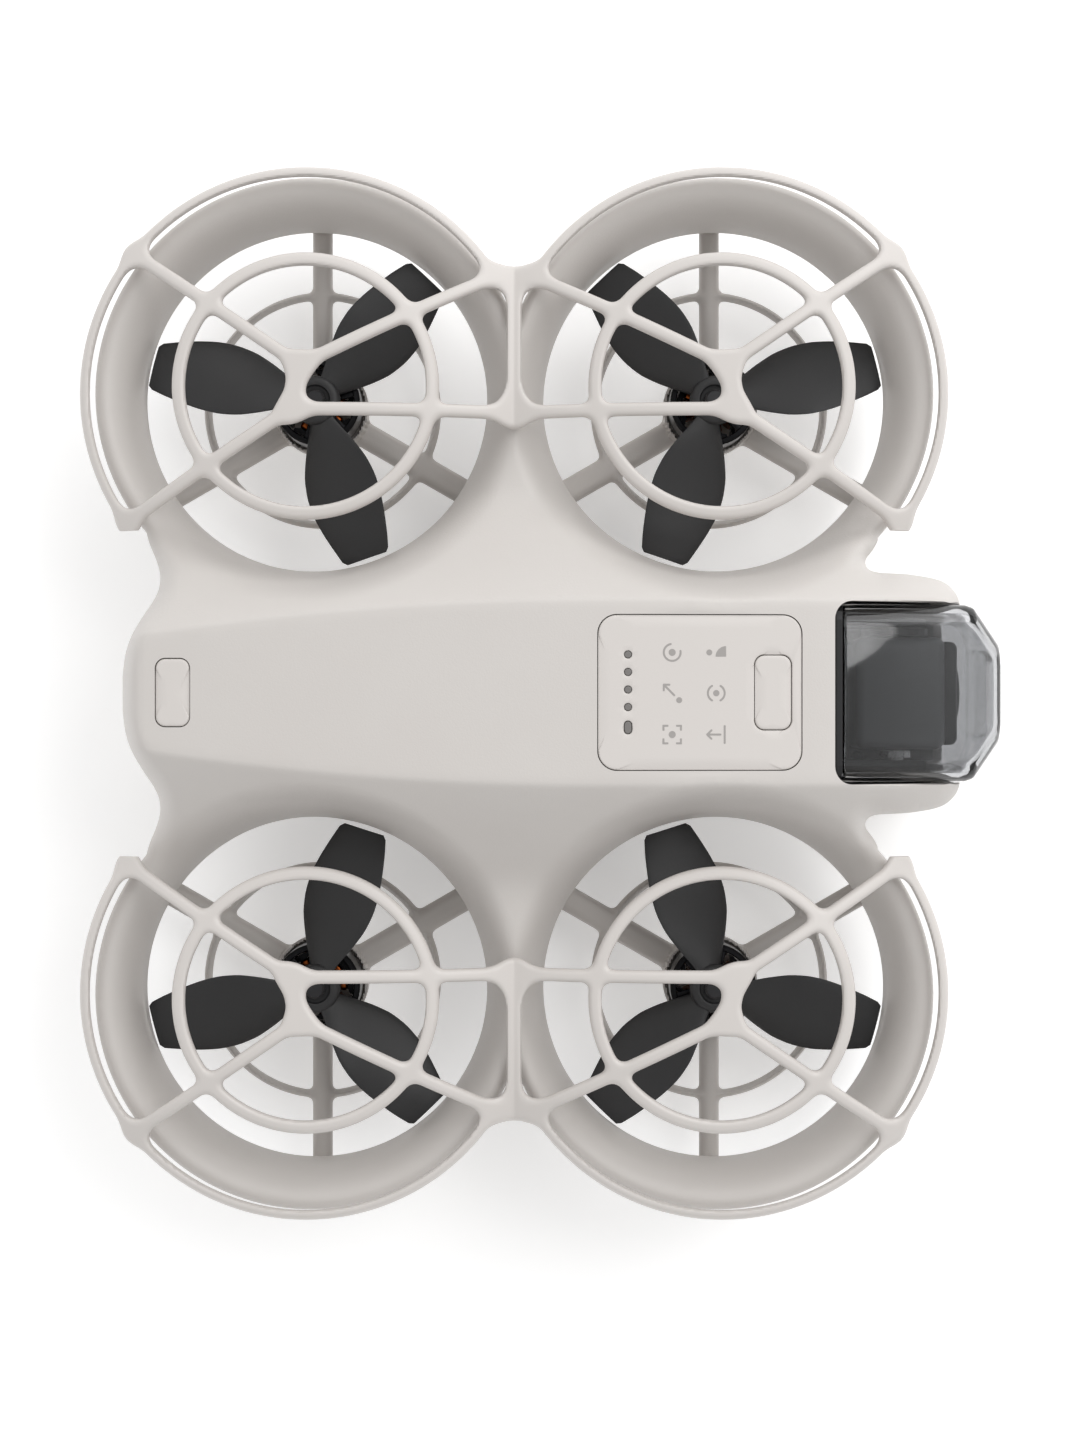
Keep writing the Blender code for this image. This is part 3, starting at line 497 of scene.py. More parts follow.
def net(outlines, holes, inner):
    """Triangles over the union of outlines less the holes, with extra points inside."""
    corners, loops = [], []
    for loop in outlines + holes:
        loops.append(list(range(len(corners), len(corners) + len(loop))))
        corners += anticlockwise(loop)
    corners += inner
    flat = delaunay_2d_cdt([Vector(c) for c in corners], [], loops, 1, 0.002)
    kept = [list(t) for t, own in zip(flat[2], flat[5]) if own and max(own) < len(outlines)]
    used = sorted({i for t in kept for i in t})
    place = {old: new for new, old in enumerate(used)}
    return np.array([tuple(flat[0][i]) for i in used]), [[place[i] for i in t] for t in kept]


def panel_loop(grow):
    low, high = PANEL_LOW[:2], PANEL_HIGH[:2]
    centre = (low + high) / 2
    return rounded(centre, high[0] - low[0] + 2 * grow, high[1] - low[1] + 2 * grow, 2.7 + grow)


def button_loop(node, grow):
    low, high = corner_mm(node, 0)[:2], corner_mm(node, 1)[:2]
    return rounded((low + high) / 2, high[0] - low[0] + 2 * grow, high[1] - low[1] + 2 * grow, 1.4 + grow)


def upper_shell(look):
    around = 200 if FINE else 100
    spacing = 0.8 if FINE else 1.4
    steps = 20 if FINE else 12
    corner = 2.6
    bay = [(72.0, -BAY_HALF), (72.0, BAY_HALF), (60.0, BAY_HALF), (50.0, BAY_HALF)]
    for sign, start in ((1, 90), (-1, 180)):
        for k in range(9):
            a = math.radians(start + 90 * k / 8)
            bay.append((BAY_X + corner + corner * math.cos(a),
                        sign * (BAY_HALF - corner) + corner * math.sin(a)))
    bay += [(50.0, -BAY_HALF), (60.0, -BAY_HALF)]
    holes = [ring_points(c, THROAT_R, around) for c in ROTORS.values()]
    holes += [bay, panel_loop(0.13), button_loop("power_button", 0.12)]
    inner = []
    turn = [THROAT_R + (LIP_R - THROAT_R) * (1 - math.cos(math.radians(90 * k / steps)))
            for k in range(1, steps)]
    turn = [r for r in turn if r > THROAT_R + 0.05 and abs(r - THROAT_R - DUCT_WALL) > 0.12]
    for centre in ROTORS.values():
        for radius in turn + [THROAT_R + DUCT_WALL, THROAT_R + DUCT_WALL + 0.1, LIP_R, LIP_R + 0.7]:
            inner += ring_points(centre, radius, around)
    crease = np.arange(-60.0, 60.0, spacing)
    for side in (1, -1):
        for out in (-0.5, -0.2, 0.05, 0.3, 0.7):
            inner += [(float(x), float(side * (plateau_half(x) + out))) for x in crease]
    grid = np.mgrid[SHELL_LOW[0]:SHELL_HIGH[0]:spacing, SHELL_LOW[1]:SHELL_HIGH[1]:spacing].reshape(2, -1).T
    far = np.min([np.hypot(grid[:, 0] - c[0], grid[:, 1] - c[1]) for c in ROTORS.values()], axis=0)
    off_crease = np.abs(np.abs(grid[:, 1]) - plateau_half(grid[:, 0])) > 1.0
    clear_bay = (grid[:, 0] < BAY_X - 0.3) | (np.abs(grid[:, 1]) > BAY_HALF + 0.3)
    inner += [tuple(p) for p in grid[(far > LIP_R + 1.1) & off_crease & clear_bay]]
    spots = np.array(inner)
    inner = edge_rows() + [tuple(p) for p in spots[edge_distance(*spots.T) > (0.3 if FINE else 0.5)]]
    flat, faces = net([EDGE.tolist()], holes, inner)
    made = close_sheet("upper_shell_skin", flat, faces, None, lambda x, y, d: shell_top(x, y),
                       lambda x, y, d: shell_under(x, y), look, "airframe")
    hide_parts("upper_shell")


# ---------------------------------------------------------------- guards

def guard_height(x, y):
    hubs = (ROTORS["rear_left"], ROTORS["front_left"])
    away = np.min([np.hypot(x - c[0], np.abs(y) - ROTOR_Y) for c in hubs], axis=0)
    return GUARD_TOP - GUARD_DROP * (away / RIM_R) ** 2.4


def guard_field(x, y):
    """Negative inside the left guard's bars, which blend where they meet."""
    total = None
    for name, away in (("rear_left", -1), ("front_left", 1)):
        centre = ROTORS[name]
        middle = centre + np.array([away * RIM_SHIFT, -RIM_SHIFT])

        def polar(radius, angle):
            a = math.radians(angle)
            return middle + np.array([away * radius * math.cos(a), radius * math.sin(a)])

        upper, lower = centre + np.array([away * 0.7, 2.8]), np.array([centre[0] + away * 1.9, CROSSBAR_Y])
        ends = (-37, 146) if away > 0 else (34, 217)
        rim = arc_distance(x, y, middle, RIM_R, *ends) - RIM_HALF
        hub = bar_distance(x, y, upper, lower) - 1.5
        for a, b in ((upper, polar(RIM_R, 39)), (upper, polar(RIM_R, 180 - 31.5)),
                     (lower, polar(RIM_R, -36)), (lower, (MIDDLE_X, CROSSBAR_Y))):
            hub = smin(hub, bar_distance(x, y, a, b) - SPOKE_HALF, 2.4)
        ring = np.abs(np.hypot(x - centre[0], y - centre[1]) - GUARD_RING_R) - 0.95
        part = smin(smin(hub, ring, 1.5), rim, 3.0)
        total = part if total is None else smin(total, part, 2.0)
    notch = (MIDDLE_X, float(middle[1] + RIM_R * math.sin(math.radians(34))) - 1.0)
    post = bar_distance(x, y, (MIDDLE_X, CROSSBAR_Y), notch) - 1.1
    return smin(total, post, 4.0)


def guards(look):
    step = 0.25 if FINE else 0.4
    low, high = corner_mm("guard_left", 0), corner_mm("guard_left", 1)
    made = sheet_from_field(
        "guard_left_bars", guard_field, lambda x, y, d: guard_height(x, y) + 1.0 - rounding(d, 0.72),
        lambda x, y, d: guard_height(x, y) - 1.0 + rounding(d, 0.4), low[:2] - 0.1, high[:2] + 0.1,
        step, look, "airframe")
    other = mirrored(made, "guard_right_bars", "airframe")
    for piece, node in ((made, "guard_left"), (other, "guard_right")):
        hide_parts(node)


# ---------------------------------------------------------------- motor mounts

def mount_field(side):
    """Negative inside a left or right mount's cup, three struts and thin ring."""
    def field(x, y):
        total = np.hypot(x, y) - CUP_R
        ring = np.abs(np.hypot(x, y) - MOUNT_RING_R) - 0.62
        for angle, width in ((90, 1.55), (-30, 2.0), (210, 2.0)):
            a = math.radians(side * angle)
            reach = MOUNT_REACH if angle == 90 else 27
            tip = (reach * math.cos(a), reach * math.sin(a))
            total = smin(total, bar_distance(x, y, (0, 0), tip) - width, 1.0)
        return np.maximum(smin(total, ring, 1.0), np.hypot(x, y) - MOUNT_REACH)
    return field


def flared_ring(name, centre, look):
    """The ring below a duct: as wide as the throat on top, wider and leaning outwards at its foot."""
    away, side = np.sign(centre[0] - MIDDLE_X), np.sign(centre[1])
    profile = [(26.1, 19.3), (26.3, 19.45), (27.1, 19.45), (27.3, 19.3)]
    profile += [(27.3, z) for z in (16.0, 13.0, 10.5, 8.7)] + [(27.1, 8.4), (26.2, 8.4)]
    profile += [(26.0, z) for z in (8.7, 10.5, 13.0, 16.0)]
    count, around = len(profile), 144
    corners = []
    for k in range(around):
        a = 2 * math.pi * k / around
        for radius, z in profile:
            lean = np.clip((RING_TOP_Z - z) / (RING_TOP_Z - RING_FOOT_Z), 0, 1) ** 0.6
            wide = radius * (1 + RING_WIDENS * lean)
            corners.append((centre[0] + wide * math.cos(a) + RING_LEANS * away * lean,
                            centre[1] + wide * math.sin(a) + RING_LEANS * side * lean, z))
    faces = []
    for k in range(around):
        a, b = k * count, (k + 1) % around * count
        faces += [[a + i, b + i, b + (i + 1) % count, a + (i + 1) % count] for i in range(count)]
    return solid(f"motor_mount_{name}_ring", corners, faces, look, "airframe")


def motor_mounts(look):
    step = 0.3 if FINE else 0.5

    def top(x, y, depth):
        away = np.hypot(x, y)
        strut = 11.0 - rounding(depth, 1.5)
        return np.where((away > 6.75) & (away < 7.35), 12.4, np.where(away <= 6.75, 10.6, strut))

    for name, centre in ROTORS.items():
        side = 1 if centre[1] > 0 else -1
        made = sheet_from_field(
            f"motor_mount_{name}_frame", mount_field(side), top, lambda x, y, d: 8.6 + rounding(d, 0.8),
            (-28.6, -28.6), (28.6, 28.6), step, look, "airframe")
        shift(made, (*centre, 0))
        ring = flared_ring(name, centre, look)
        for piece in (made, ring):
            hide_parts(f"motor_mount_{name}")


def shift(thing, by_mm):
    """Moves a piece's mesh, leaving its object at the origin."""
    pick(thing)
    bpy.ops.object.mode_set(mode="EDIT")
    bpy.ops.mesh.select_all(action="SELECT")
    bpy.ops.transform.translate(value=[v * MM for v in by_mm])
    bpy.ops.object.mode_set(mode="OBJECT")


def turned(name, profile, look, body, count=48, axis="z", at=(0, 0, 0)):
    """A closed profile of radius and height spun about an axis through a point."""
    bpy.ops.object.select_all(action="DESELECT")
    bpy.ops.mesh.primitive_plane_add(size=0.001)
    made = bpy.context.object
    made.name = made.data.name = name
    mesh = made.data
    mesh.clear_geometry()
    points = [(r * MM, 0.0, h * MM) for r, h in profile]
    mesh.from_pydata(points, [(i, (i + 1) % len(points)) for i in range(len(points))], [])
    pick(made)
    bpy.ops.object.mode_set(mode="EDIT")
    bpy.ops.mesh.select_all(action="SELECT")
    bpy.ops.mesh.spin(steps=count, angle=2 * math.pi, center=(0, 0, 0), axis=(0, 0, 1))
    bpy.ops.mesh.select_all(action="SELECT")
    bpy.ops.mesh.remove_doubles(threshold=1e-6)
    bpy.ops.mesh.dissolve_degenerate(threshold=1e-7)
    bpy.ops.mesh.select_all(action="SELECT")
    bpy.ops.mesh.normals_make_consistent(inside=False)
    bpy.ops.object.mode_set(mode="OBJECT")
    order = {"z": (0, 1, 2), "x": (2, 0, 1), "y": (1, 2, 0)}[axis]
    for vertex in mesh.vertices:
        spot = vertex.co.copy()
        vertex.co = [spot[order[k]] + at[k] * MM for k in range(3)]
    mesh.materials.clear()
    mesh.materials.append(look)
    bpy.ops.object.shade_smooth_by_angle(angle=math.radians(35))
    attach(made, body)
    return made


# ---------------------------------------------------------------- propellers and motors

# Blade stations, mm: radius, leading and trailing half-chord, pitch in degrees, thickness
BLADE = ((2.4, 1.7, -1.6, 27, 1.5), (4.5, 2.9, -2.4, 29, 1.4), (7.5, 4.6, -3.9, 29, 1.2),
         (10.5, 5.8, -5.0, 27, 1.05), (13.5, 6.2, -5.4, 24, 0.95), (16.5, 6.0, -5.2, 21, 0.85),
         (19.5, 5.3, -4.7, 18, 0.75), (22.5, 4.4, -4.1, 16, 0.65), (24.6, 3.7, -3.5, 14, 0.6),
         (25.2, 3.1, -3.0, 14, 0.5))


def blade_at(radius):
    table = np.array(BLADE)
    return [float(np.interp(radius, table[:, 0], table[:, k])) for k in range(1, 5)]


def blade_rings(hand, plane):
    """Sections of one blade along +X: wide paddle, squared tip, twisted and slightly drooped at the end."""
    stations = np.concatenate([np.linspace(2.4, 24.6, 26), [24.85, 25.02, 25.13, 25.2]])
    stations = np.unique(stations)
    smooth = np.array([blade_at(s) for s in stations])
    for k in range(4):
        core = smooth[:, k].copy()
        core[1:-1] = (smooth[:-2, k] + 2 * smooth[1:-1, k] + smooth[2:, k]) / 4
        smooth[:26, k] = core[:26]
    rings = []
    for radius, (front, back, pitch, thick) in zip(stations, smooth):
        ring = []
        droop = -0.35 * max(radius - 21.5, 0) / 4
        for k in range(24):
            a = 2 * math.pi * k / 24
            share = 0.5 - 0.5 * math.cos(a)
            across = front + (back - front) * share
            full = math.sin(a) * thick * 0.5 * (1.15 - 0.5 * share)
            camber = 0.5 * math.sin(math.pi * share) * 0.6
            rise = -across * math.sin(math.radians(pitch)) + full + camber
            ring.append((radius, across * math.cos(math.radians(pitch)) * 1.06 * hand, plane + rise + droop))
        rings.append(ring)
    return rings


def propeller(name, centre, look, angles):
    hand = (1 if centre[1] > 0 else -1) * (1 if centre[0] > 0 else -1)
    body = f"rotor_{name}"
    rings = blade_rings(hand, PROPELLER_Z)
    corners = [p for ring in rings for p in ring]
    count = len(rings[0])
    faces = [list(range(count)), [len(corners) - count + k for k in range(count)]]
    for r in range(len(rings) - 1):
        for k in range(count):
            a, b = r * count + k, r * count + (k + 1) % count
            faces.append([a, b, b + count, a + count])
    blades = []
    for k, angle in enumerate(angles):
        c, s = math.cos(math.radians(angle)), math.sin(math.radians(angle))
        spun = [(x * c - y * s + centre[0], x * s + y * c + centre[1], z) for x, y, z in corners]
        blades.append(solid(f"propeller_{name}_blade_{k}", spun, faces, look, body, 50))
    profile = [(0, 20.9), (3.5, 20.9), (3.7, 21.1), (3.7, 23.3), (3.55, 23.7), (3.2, 23.95),
               (2.6, 24.1), (2.3, 24.0), (2.1, 23.6), (1.9, 23.5), (0, 23.5)]
    hub = turned(f"propeller_{name}_hub", profile, look, body, 40, at=(*centre, 0))
    for piece in blades + [hub]:
        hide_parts(f"propeller_{name}")


def motor(name, centre, looks):
    body = f"rotor_{name}"
    at = (*centre, 0)
    can_wall = [(6.6, 19.6), (6.55, 20.0), (6.3, 20.25), (5.75, 20.3), (5.6, 20.1), (5.6, 19.2),
                (5.95, 18.9), (5.95, 12.9), (6.1, 12.75), (6.45, 12.75), (6.6, 12.9)]
    can = turned(f"motor_can_{name}", can_wall, looks["anodised"], body, 56, at=at)
    boss = [(0, 19.3), (3.2, 19.3), (3.4, 19.5), (3.4, 20.2), (3.2, 20.4), (0, 20.4)]
    spider = turned(f"motor_spider_{name}", boss, looks["anodised"], body, 32, at=at)
    arms = []
    for k in range(6):
        a = math.radians(60 * k + 15)
        bpy.ops.object.select_all(action="DESELECT")
        bpy.ops.mesh.primitive_cube_add(size=1)
        arm = bpy.context.object
        arm.name = arm.data.name = f"motor_arm_{name}_{k}"
        arm.scale = (3.2 * MM, 1.1 * MM, 0.7 * MM)
        arm.rotation_euler = (0, 0, a)
        spot = (centre[0] + 4.4 * math.cos(a), centre[1] + 4.4 * math.sin(a), 19.75)
        arm.location = [v * MM for v in spot]
        bpy.ops.object.transform_apply(location=True, rotation=True, scale=True)
        rim = arm.modifiers.new("edge", "BEVEL")
        rim.width, rim.segments = 0.2 * MM, 3
        bpy.ops.object.modifier_apply(modifier="edge")
        arm.data.materials.append(looks["anodised"])
        bpy.ops.object.shade_smooth_by_angle(angle=math.radians(35))
        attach(arm, body)
        arms.append(arm)
    pick(can, spider, *arms)
    bpy.ops.object.join()
    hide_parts(f"rotor_bell_{name}")
    coils = windings(name, centre, looks["copper"])
    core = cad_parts[f"stator_{name}"]
    dress(core, looks["anodised"])


def windings(name, centre, look):
    """Nine copper coils, one on each tooth of the stator."""
    coils = []
    for k in range(9):
        bpy.ops.object.select_all(action="DESELECT")
        bpy.ops.mesh.primitive_cube_add(size=1)
        coil = bpy.context.object
        coil.scale = (1.7 * MM, 1.5 * MM, 6.0 * MM)
        bpy.ops.object.transform_apply(scale=True, location=False, rotation=False)
        edge = coil.modifiers.new("round", "BEVEL")
        edge.width, edge.segments = 0.45 * MM, 4
        bpy.ops.object.modifier_apply(modifier="round")
        a = math.radians(40 * k)
        coil.rotation_euler = (0, 0, a)
        spot = (centre[0] + 3.65 * math.cos(a), centre[1] + 3.65 * math.sin(a), 15.1)
        coil.location = [v * MM for v in spot]
        bpy.ops.object.transform_apply(location=True, rotation=True, scale=True)
        coil.data.materials.append(look)
        coils.append(coil)
    pick(*coils)
    bpy.ops.object.join()
    made = bpy.context.object
    made.name = made.data.name = f"motor_windings_{name}"
    bpy.ops.object.shade_smooth_by_angle(angle=math.radians(35))
    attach(made, "airframe")
    return made


def dress(thing, look):
    thing.data.materials.clear()
    thing.data.materials.append(look)


# ---------------------------------------------------------------- top of the body

def plate(name, loop, holes, look, body, thickness, edge=0.22, lift=0.0):
    """A plate that follows the body's crown, with a rounded upper edge."""
    outer = np.array(loop)
    centre = (outer.min(0) + outer.max(0)) / 2
    inner = []
    size = (outer.max(0) - outer.min(0)) / 2
    for inset in (0.06, 0.14, edge, 0.6):
        if inset < size.min() - 0.1:
            inner += [tuple(centre + (p - centre) * (size - inset) / size) for p in outer]
    if np.ptp(outer, axis=0).min() > 3.0:
        grid = np.mgrid[outer[:, 0].min() + 1:outer[:, 0].max() - 0.9:0.8,
                        outer[:, 1].min() + 1:outer[:, 1].max() - 0.9:0.8].reshape(2, -1).T
        inner += [tuple(p) for p in grid]
    for hole in holes:
        h = np.array(hole)
        c = (h.min(0) + h.max(0)) / 2
        size = (h.max(0) - h.min(0)) / 2
        for out in (0.08, 0.2):
            inner += [tuple(c + (p - c) * (size + out) / size) for p in h]
    flat, faces = net([loop], holes, inner)

    def field(x, y):
        depth = np.full(len(x), 99.0)
        for line in [loop] + holes:
            for a, b in zip(line, line[1:] + line[:1]):
                if math.dist(a, b) > 1e-6:
                    depth = np.minimum(depth, bar_distance(x, y, a, b))
        return -depth

    made = close_sheet(name, flat, faces, field, lambda x, y, d: crown(x) + lift - rounding(d, edge),
                       lambda x, y, d: crown(x) - thickness, look, body)
    return made


def control_panel(looks):
    lights_x = float(middle_mm("status_light_guide")[0])
    lights = (5.4, 2.9, 0.4, -2.1, -5.0)
    holes = [button_loop("mode_button", 0.12)]
    holes += [rounded((lights_x, y), 1.1, 1.1, 0.54, 5) for y in lights[:4]]
    holes.append(rounded((lights_x, lights[4]), 1.15, 1.9, 0.56, 5))
    panel = plate("control_panel_plate", panel_loop(0.0), holes, looks["panel"], "airframe", 1.4)
    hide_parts("control_panel")
    for name, body in (("power_button", "power_button"), ("mode_button", "mode_button")):
        cap = plate(f"{name}_cap", button_loop(name, 0.0), [], looks["panel"], body, 2.4, 0.3)
        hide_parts(name)
    tips = []
    for k, y in enumerate(lights):
        loop = rounded((lights_x, y), 1.0, 1.0 if k < 4 else 1.75, 0.49, 5)
        tips.append(plate(f"light_tip_{k}", loop, [], looks["light_guide"], "airframe", 1.4, 0.12, -0.06))
    pick(*tips)
    bpy.ops.object.join()
    marks(looks["ink"])


def ink_shape(name, field, centre, reach, look):
    """A printed mark lying on the panel, cut from a field of distances."""
    step = 0.07 if FINE else 0.1

    def moved(x, y):
        return field(x - centre[0], y - centre[1])

    return sheet_from_field(name, moved, lambda x, y, d: crown(x) + 0.02, lambda x, y, d: crown(x) - 0.03,
                            (centre[0] - reach, centre[1] - reach), (centre[0] + reach, centre[1] + reach),
                            step, look, "airframe")


def marks(look):
    """Six plain mode signs in two columns: ring, fan, line, sweep, frame and bar."""
    def dot(x, y, a, b, r):
        return np.hypot(x - a, y - b) - r

    def ringed(x, y):
        return np.minimum(dot(x, y, 0, 0, 0.5), arc_distance(x, y, (0, 0), 1.2, 100, 370) - 0.14)

    def fan(x, y):
        wedge = np.maximum(np.hypot(x - 1.4, y + 0.6) - 1.5, -(y + 0.6))
        return np.minimum(np.maximum(wedge, x - 1.4), dot(x, y, -1.0, 0, 0.42))

    def line(x, y):
        strokes = [bar_distance(x, y, (-1.2, 1.2), tip) for tip in ((0.3, -0.3), (-0.4, 1.2), (-1.2, 0.4))]
        return np.minimum(np.min(strokes, axis=0) - 0.14, dot(x, y, 1.0, -1.0, 0.42))

    def sweep(x, y):
        arcs = np.minimum(arc_distance(x, y, (0, 0), 1.2, 120, 240),
                          arc_distance(x, y, (0, 0), 1.2, -60, 60))
        return np.minimum(dot(x, y, 0, 0, 0.45), arcs - 0.14)

    def framed(x, y):
        box = np.maximum(np.abs(x), np.abs(y)) - 1.25
        corners = np.maximum(np.abs(box) - 0.14, 0.55 - np.minimum(np.abs(x), np.abs(y)))
        return np.minimum(dot(x, y, 0, 0, 0.5), corners)

    def stop_bar(x, y):
        arrow = [bar_distance(x, y, (-1.3, 0), tip) for tip in ((0.6, 0), (-0.7, 0.6), (-0.7, -0.6))]
        return np.minimum(np.min(arrow, axis=0), bar_distance(x, y, (1.2, 1.2), (1.2, -1.2))) - 0.14

    lights_x = float(middle_mm("status_light_guide")[0])
    rows, columns = (5.7, -0.1, -6.0), (lights_x + 6.3, lights_x + 12.6)
    signs = ((ringed, fan), (line, sweep), (framed, stop_bar))
    made = []
    for row, pair in zip(rows, signs):
        for column, sign in zip(columns, pair):
            made.append(ink_shape(f"mode_sign_{sign.__name__}", sign, (column, row), 1.9, look))
    pick(*made)
    bpy.ops.object.join()
    made[0].name = made[0].data.name = "mode_signs"


# ---------------------------------------------------------------- camera

def rounded_box(name, low, high, radius, look, body, segments=6):
    """A box with round edges, from its two corners in mm."""
    bpy.ops.object.select_all(action="DESELECT")
    low, high = np.array(low, float), np.array(high, float)
    bpy.ops.mesh.primitive_cube_add(size=1, location=((low + high) / 2 * MM).tolist())
    made = bpy.context.object
    made.name = made.data.name = name
    made.scale = ((high - low) * MM).tolist()
    bpy.ops.object.transform_apply(location=True, rotation=True, scale=True)
    edge = made.modifiers.new("edge", "BEVEL")
    edge.width, edge.segments = radius * MM, segments
    bpy.ops.object.modifier_apply(modifier="edge")
    made.data.materials.append(look)
    bpy.ops.object.shade_smooth_by_angle(angle=math.radians(35))
    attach(made, body)
    return made


def arched(loop):
    """Adds points across the long top edge, so that it can be arched."""
    made = []
    for a, b in zip(loop, loop[1:] + loop[:1]):
        made.append(a)
        if abs(a[0] - b[0]) > 4:
            made += [(a[0] + (b[0] - a[0]) * k / 8, a[1] + (b[1] - a[1]) * k / 8) for k in range(1, 8)]
    return made


def cover_rings(inset, rear):
    """Sections of the camera cover from the rear to the nose, each a rounded rectangle in Y and Z."""
    half, low, high = COVER_HIGH[1] - inset, COVER_LOW[2] + inset, COVER_HIGH[2] - inset
    nose = COVER_HIGH[0] - inset
    stations = [(rear, 0, 0, 0), (nose - 5.6, 0, 0, 2.2), (nose - 4.3, 0.35, 0.6, 3.1),
                (nose - 0.9, 4.7, 5.2, 6.4), (nose - 0.25, 5.4, 5.8, 7.2), (nose, 6.1, 6.5, 7.9)]
    rings = []
    for x, side, under, over in stations:
        over = over + 0.16 * max(x - COVER_LOW[0], 0) * 0.5 if x < nose - 5 else over + 1.2
        z0, z1 = low + under, high - over
        corner = max(3.0 - inset * 0.8, 0.6)
        loop = arched(rounded((0, (z0 + z1) / 2), 2 * (half - side), z1 - z0, corner, 6))
        crown_z = 0.9 * (1 - under / 6.5)
        rings.append([(x, y, z - (crown_z * (y / half) ** 2 if z > (z0 + z1) / 2 else 0)) for y, z in loop])
    return rings


def camera_cover(look):
    outer = cover_rings(0.0, COVER_LOW[0])
    inner = cover_rings(1.2, COVER_LOW[0])
    count = len(outer[0])
    corners = [p for ring in outer + inner for p in ring]
    faces, rows = [], len(outer)
    for start, flip in ((0, False), (rows, True)):
        for r in range(rows - 1):
            for k in range(count):
                a, b = (start + r) * count + k, (start + r) * count + (k + 1) % count
                faces.append([a, b, b + count, a + count][::-1 if flip else 1])
        cap = [(start + rows - 1) * count + k for k in range(count)]
        faces.append(cap[::-1] if flip else cap)
    for k in range(count):
        a, b = k, (k + 1) % count
        faces.append([a, b, rows * count + b, rows * count + a][::-1])
    made = solid("camera_cover_shell", corners, faces, look, "camera_cover", 22)
    edge = made.modifiers.new("edge", "BEVEL")
    edge.width, edge.segments, edge.limit_method, edge.angle_limit = 0.35 * MM, 3, "ANGLE", math.radians(24)
    pick(made)
    bpy.ops.object.modifier_apply(modifier="edge")
    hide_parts("camera_cover")


def camera(looks):
    low, high = corner_mm("camera_housing", 0), corner_mm("camera_housing", 1)
    case = rounded_box("camera_case", low, high, 1.5, looks["camera_grey"], "camera")
    height = (low[2] + high[2]) / 2
    bezel = rounded_box("camera_bezel", (high[0] - 1.0, -7.6, height - 5.9),
                        (high[0] + 1.9, 7.6, height + 5.9), 1.1, looks["black"], "camera")
    for piece in (case, bezel):
        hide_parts("camera_housing")
    for node in ("lens_barrel", "tilt_motor", "camera_frame"):
        dress(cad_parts[node], looks["black"])
    dress(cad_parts["lens_glass"], looks["lens"])
    dress(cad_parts["tilt_pin"], looks["steel"])
    camera_cover(looks["clear"])


# ---------------------------------------------------------------- pieces kept from the frame

KEPT = {"lower_shell": "shell", "battery_pack": "shell", "battery_latch_left": "panel",
        "battery_latch_right": "panel", "main_board": "board", "mid_frame": "alloy", "power_switch": "black",
        "mode_switch": "black", "battery_connector": "black", "usb_port": "steel",
        "status_light_guide": "light_guide", "sensor_window": "black", "vision_sensor": "lens",
        "infrared_sensor": "lens", "guard_screw_left": "screw", "guard_screw_right": "screw"}


def dress_kept(looks):
    for node, look in KEPT.items():
        dress(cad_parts[node], looks[look])
    for name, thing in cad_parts.items():
        if name.startswith("shaft_"):
            dress(thing, looks["steel"])
        if name.startswith(("body_screw", "propeller_screw")):
            dress(thing, looks["screw"])


# ---------------------------------------------------------------- studio

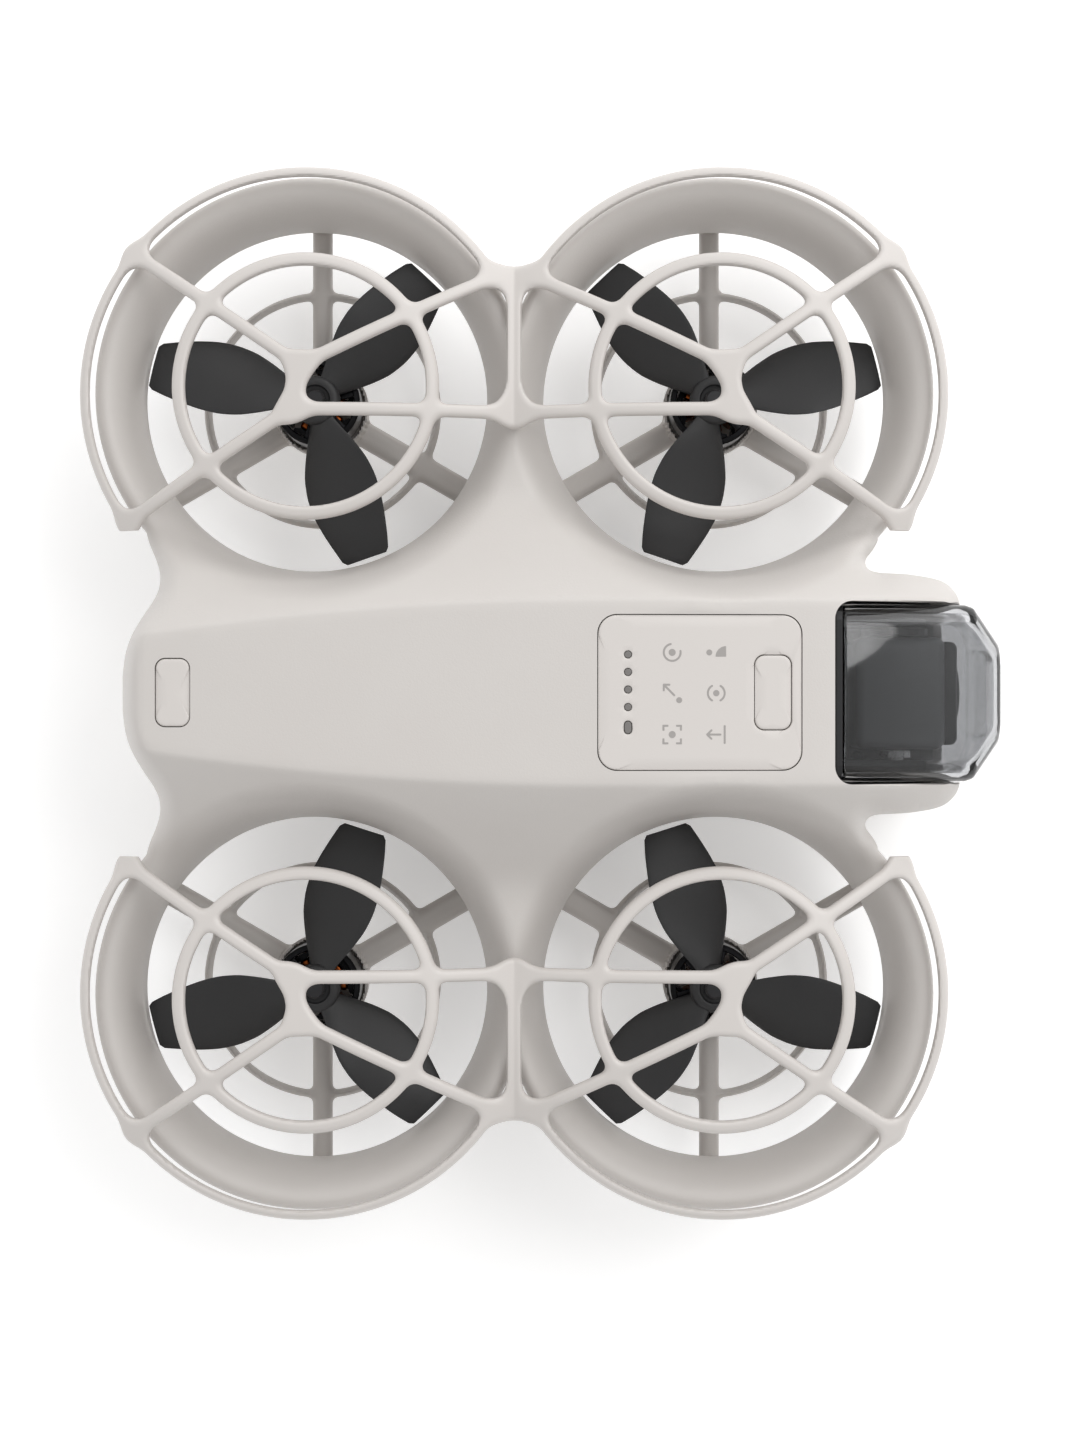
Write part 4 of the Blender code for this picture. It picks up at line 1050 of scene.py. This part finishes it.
def studio():
    bpy.ops.object.select_all(action="DESELECT")
    bpy.ops.mesh.primitive_plane_add(size=3.0, location=(0, 0, -0.0005))
    floor = bpy.context.object
    floor.name = "studio_floor"
    paper, tree, shader = blank("matt_white_paper", "#F9F9F9", 0.9)
    fibre = add(tree, "ShaderNodeTexNoise", None, {
        "Vector": add(tree, "ShaderNodeTexCoord").outputs["Object"], "Scale": 1 / (0.6 * MM), "Detail": 2.0})
    bump = add(tree, "ShaderNodeBump", None, {
        "Height": fibre.outputs["Fac"], "Strength": 0.1, "Distance": 0.02 * MM})
    tree.links.new(bump.outputs["Normal"], shader.inputs["Normal"])
    shader.inputs["Emission Color"].default_value = (1.0, 1.0, 1.0, 1.0)
    shader.inputs["Emission Strength"].default_value = 0.27
    floor.data.materials.append(paper)
    world = bpy.data.worlds.new("soft_daylight")
    bpy.context.scene.world = world
    world.use_nodes = True
    tree = world.node_tree
    sky = tree.nodes["Background"]
    place = add(tree, "ShaderNodeSeparateXYZ", None, {
        "Vector": add(tree, "ShaderNodeTexCoord").outputs["Generated"]})
    band = add(tree, "ShaderNodeValToRGB", None, {"Fac": place.outputs["Z"]}).color_ramp
    band.elements[0].color = (0.5, 0.5, 0.5, 1.0)
    band.elements[1].color = (0.4, 0.4, 0.4, 1.0)
    for share, grey in ((0.45, 1.0), (0.75, 0.95)):
        band.elements.new(share).color = (grey, grey, grey, 1.0)
    tree.links.new(tree.nodes["Color Ramp"].outputs["Color"], sky.inputs["Color"])
    level = add(tree, "ShaderNodeMapRange", None, {
        "Value": place.outputs["Y"], "From Min": -0.7, "From Max": 0.7, "To Min": 0.86, "To Max": 1.2})
    tree.links.new(level.outputs["Result"], sky.inputs["Strength"])
    for name, spot, size, power in (("key_softbox", (0.55, 0.8, 0.55), 0.8, 3.4),
                                    ("nose_softbox", (0.45, 0.3, 0.95), 0.45, 1.8)):
        bpy.ops.object.light_add(type="AREA", location=spot)
        lamp = bpy.context.object
        lamp.name = name
        lamp.data.shape, lamp.data.size, lamp.data.energy = "DISK", size, power
        lamp.rotation_euler = (Vector((0, 0, 0.02)) - Vector(spot)).to_track_quat("-Z", "Y").to_euler()
    camera_data = bpy.data.cameras.new("overhead_camera")
    camera_data.sensor_fit = "VERTICAL"
    camera_data.sensor_height = 36.0
    camera_data.lens = 66.7
    eye = bpy.data.objects.new("overhead_camera", camera_data)
    eye.location = (0.0006, -0.0045, 0.430)
    bpy.context.collection.objects.link(eye)
    bpy.context.scene.camera = eye
    bpy.context.scene.view_settings.view_transform = "Standard"


def build():
    looks = make_materials()
    studio()
    upper_shell(looks["shell"])
    guards(looks["guard"])
    motor_mounts(looks["shell"])
    angles = {"rear_left": 48, "front_left": 12, "rear_right": 73, "front_right": 107}
    for name, centre in ROTORS.items():
        propeller(name, centre, looks["blade"], [angles[name] + 120 * k for k in range(3)])
        motor(name, centre, looks)
    control_panel(looks)
    camera(looks)
    dress_kept(looks)


build()
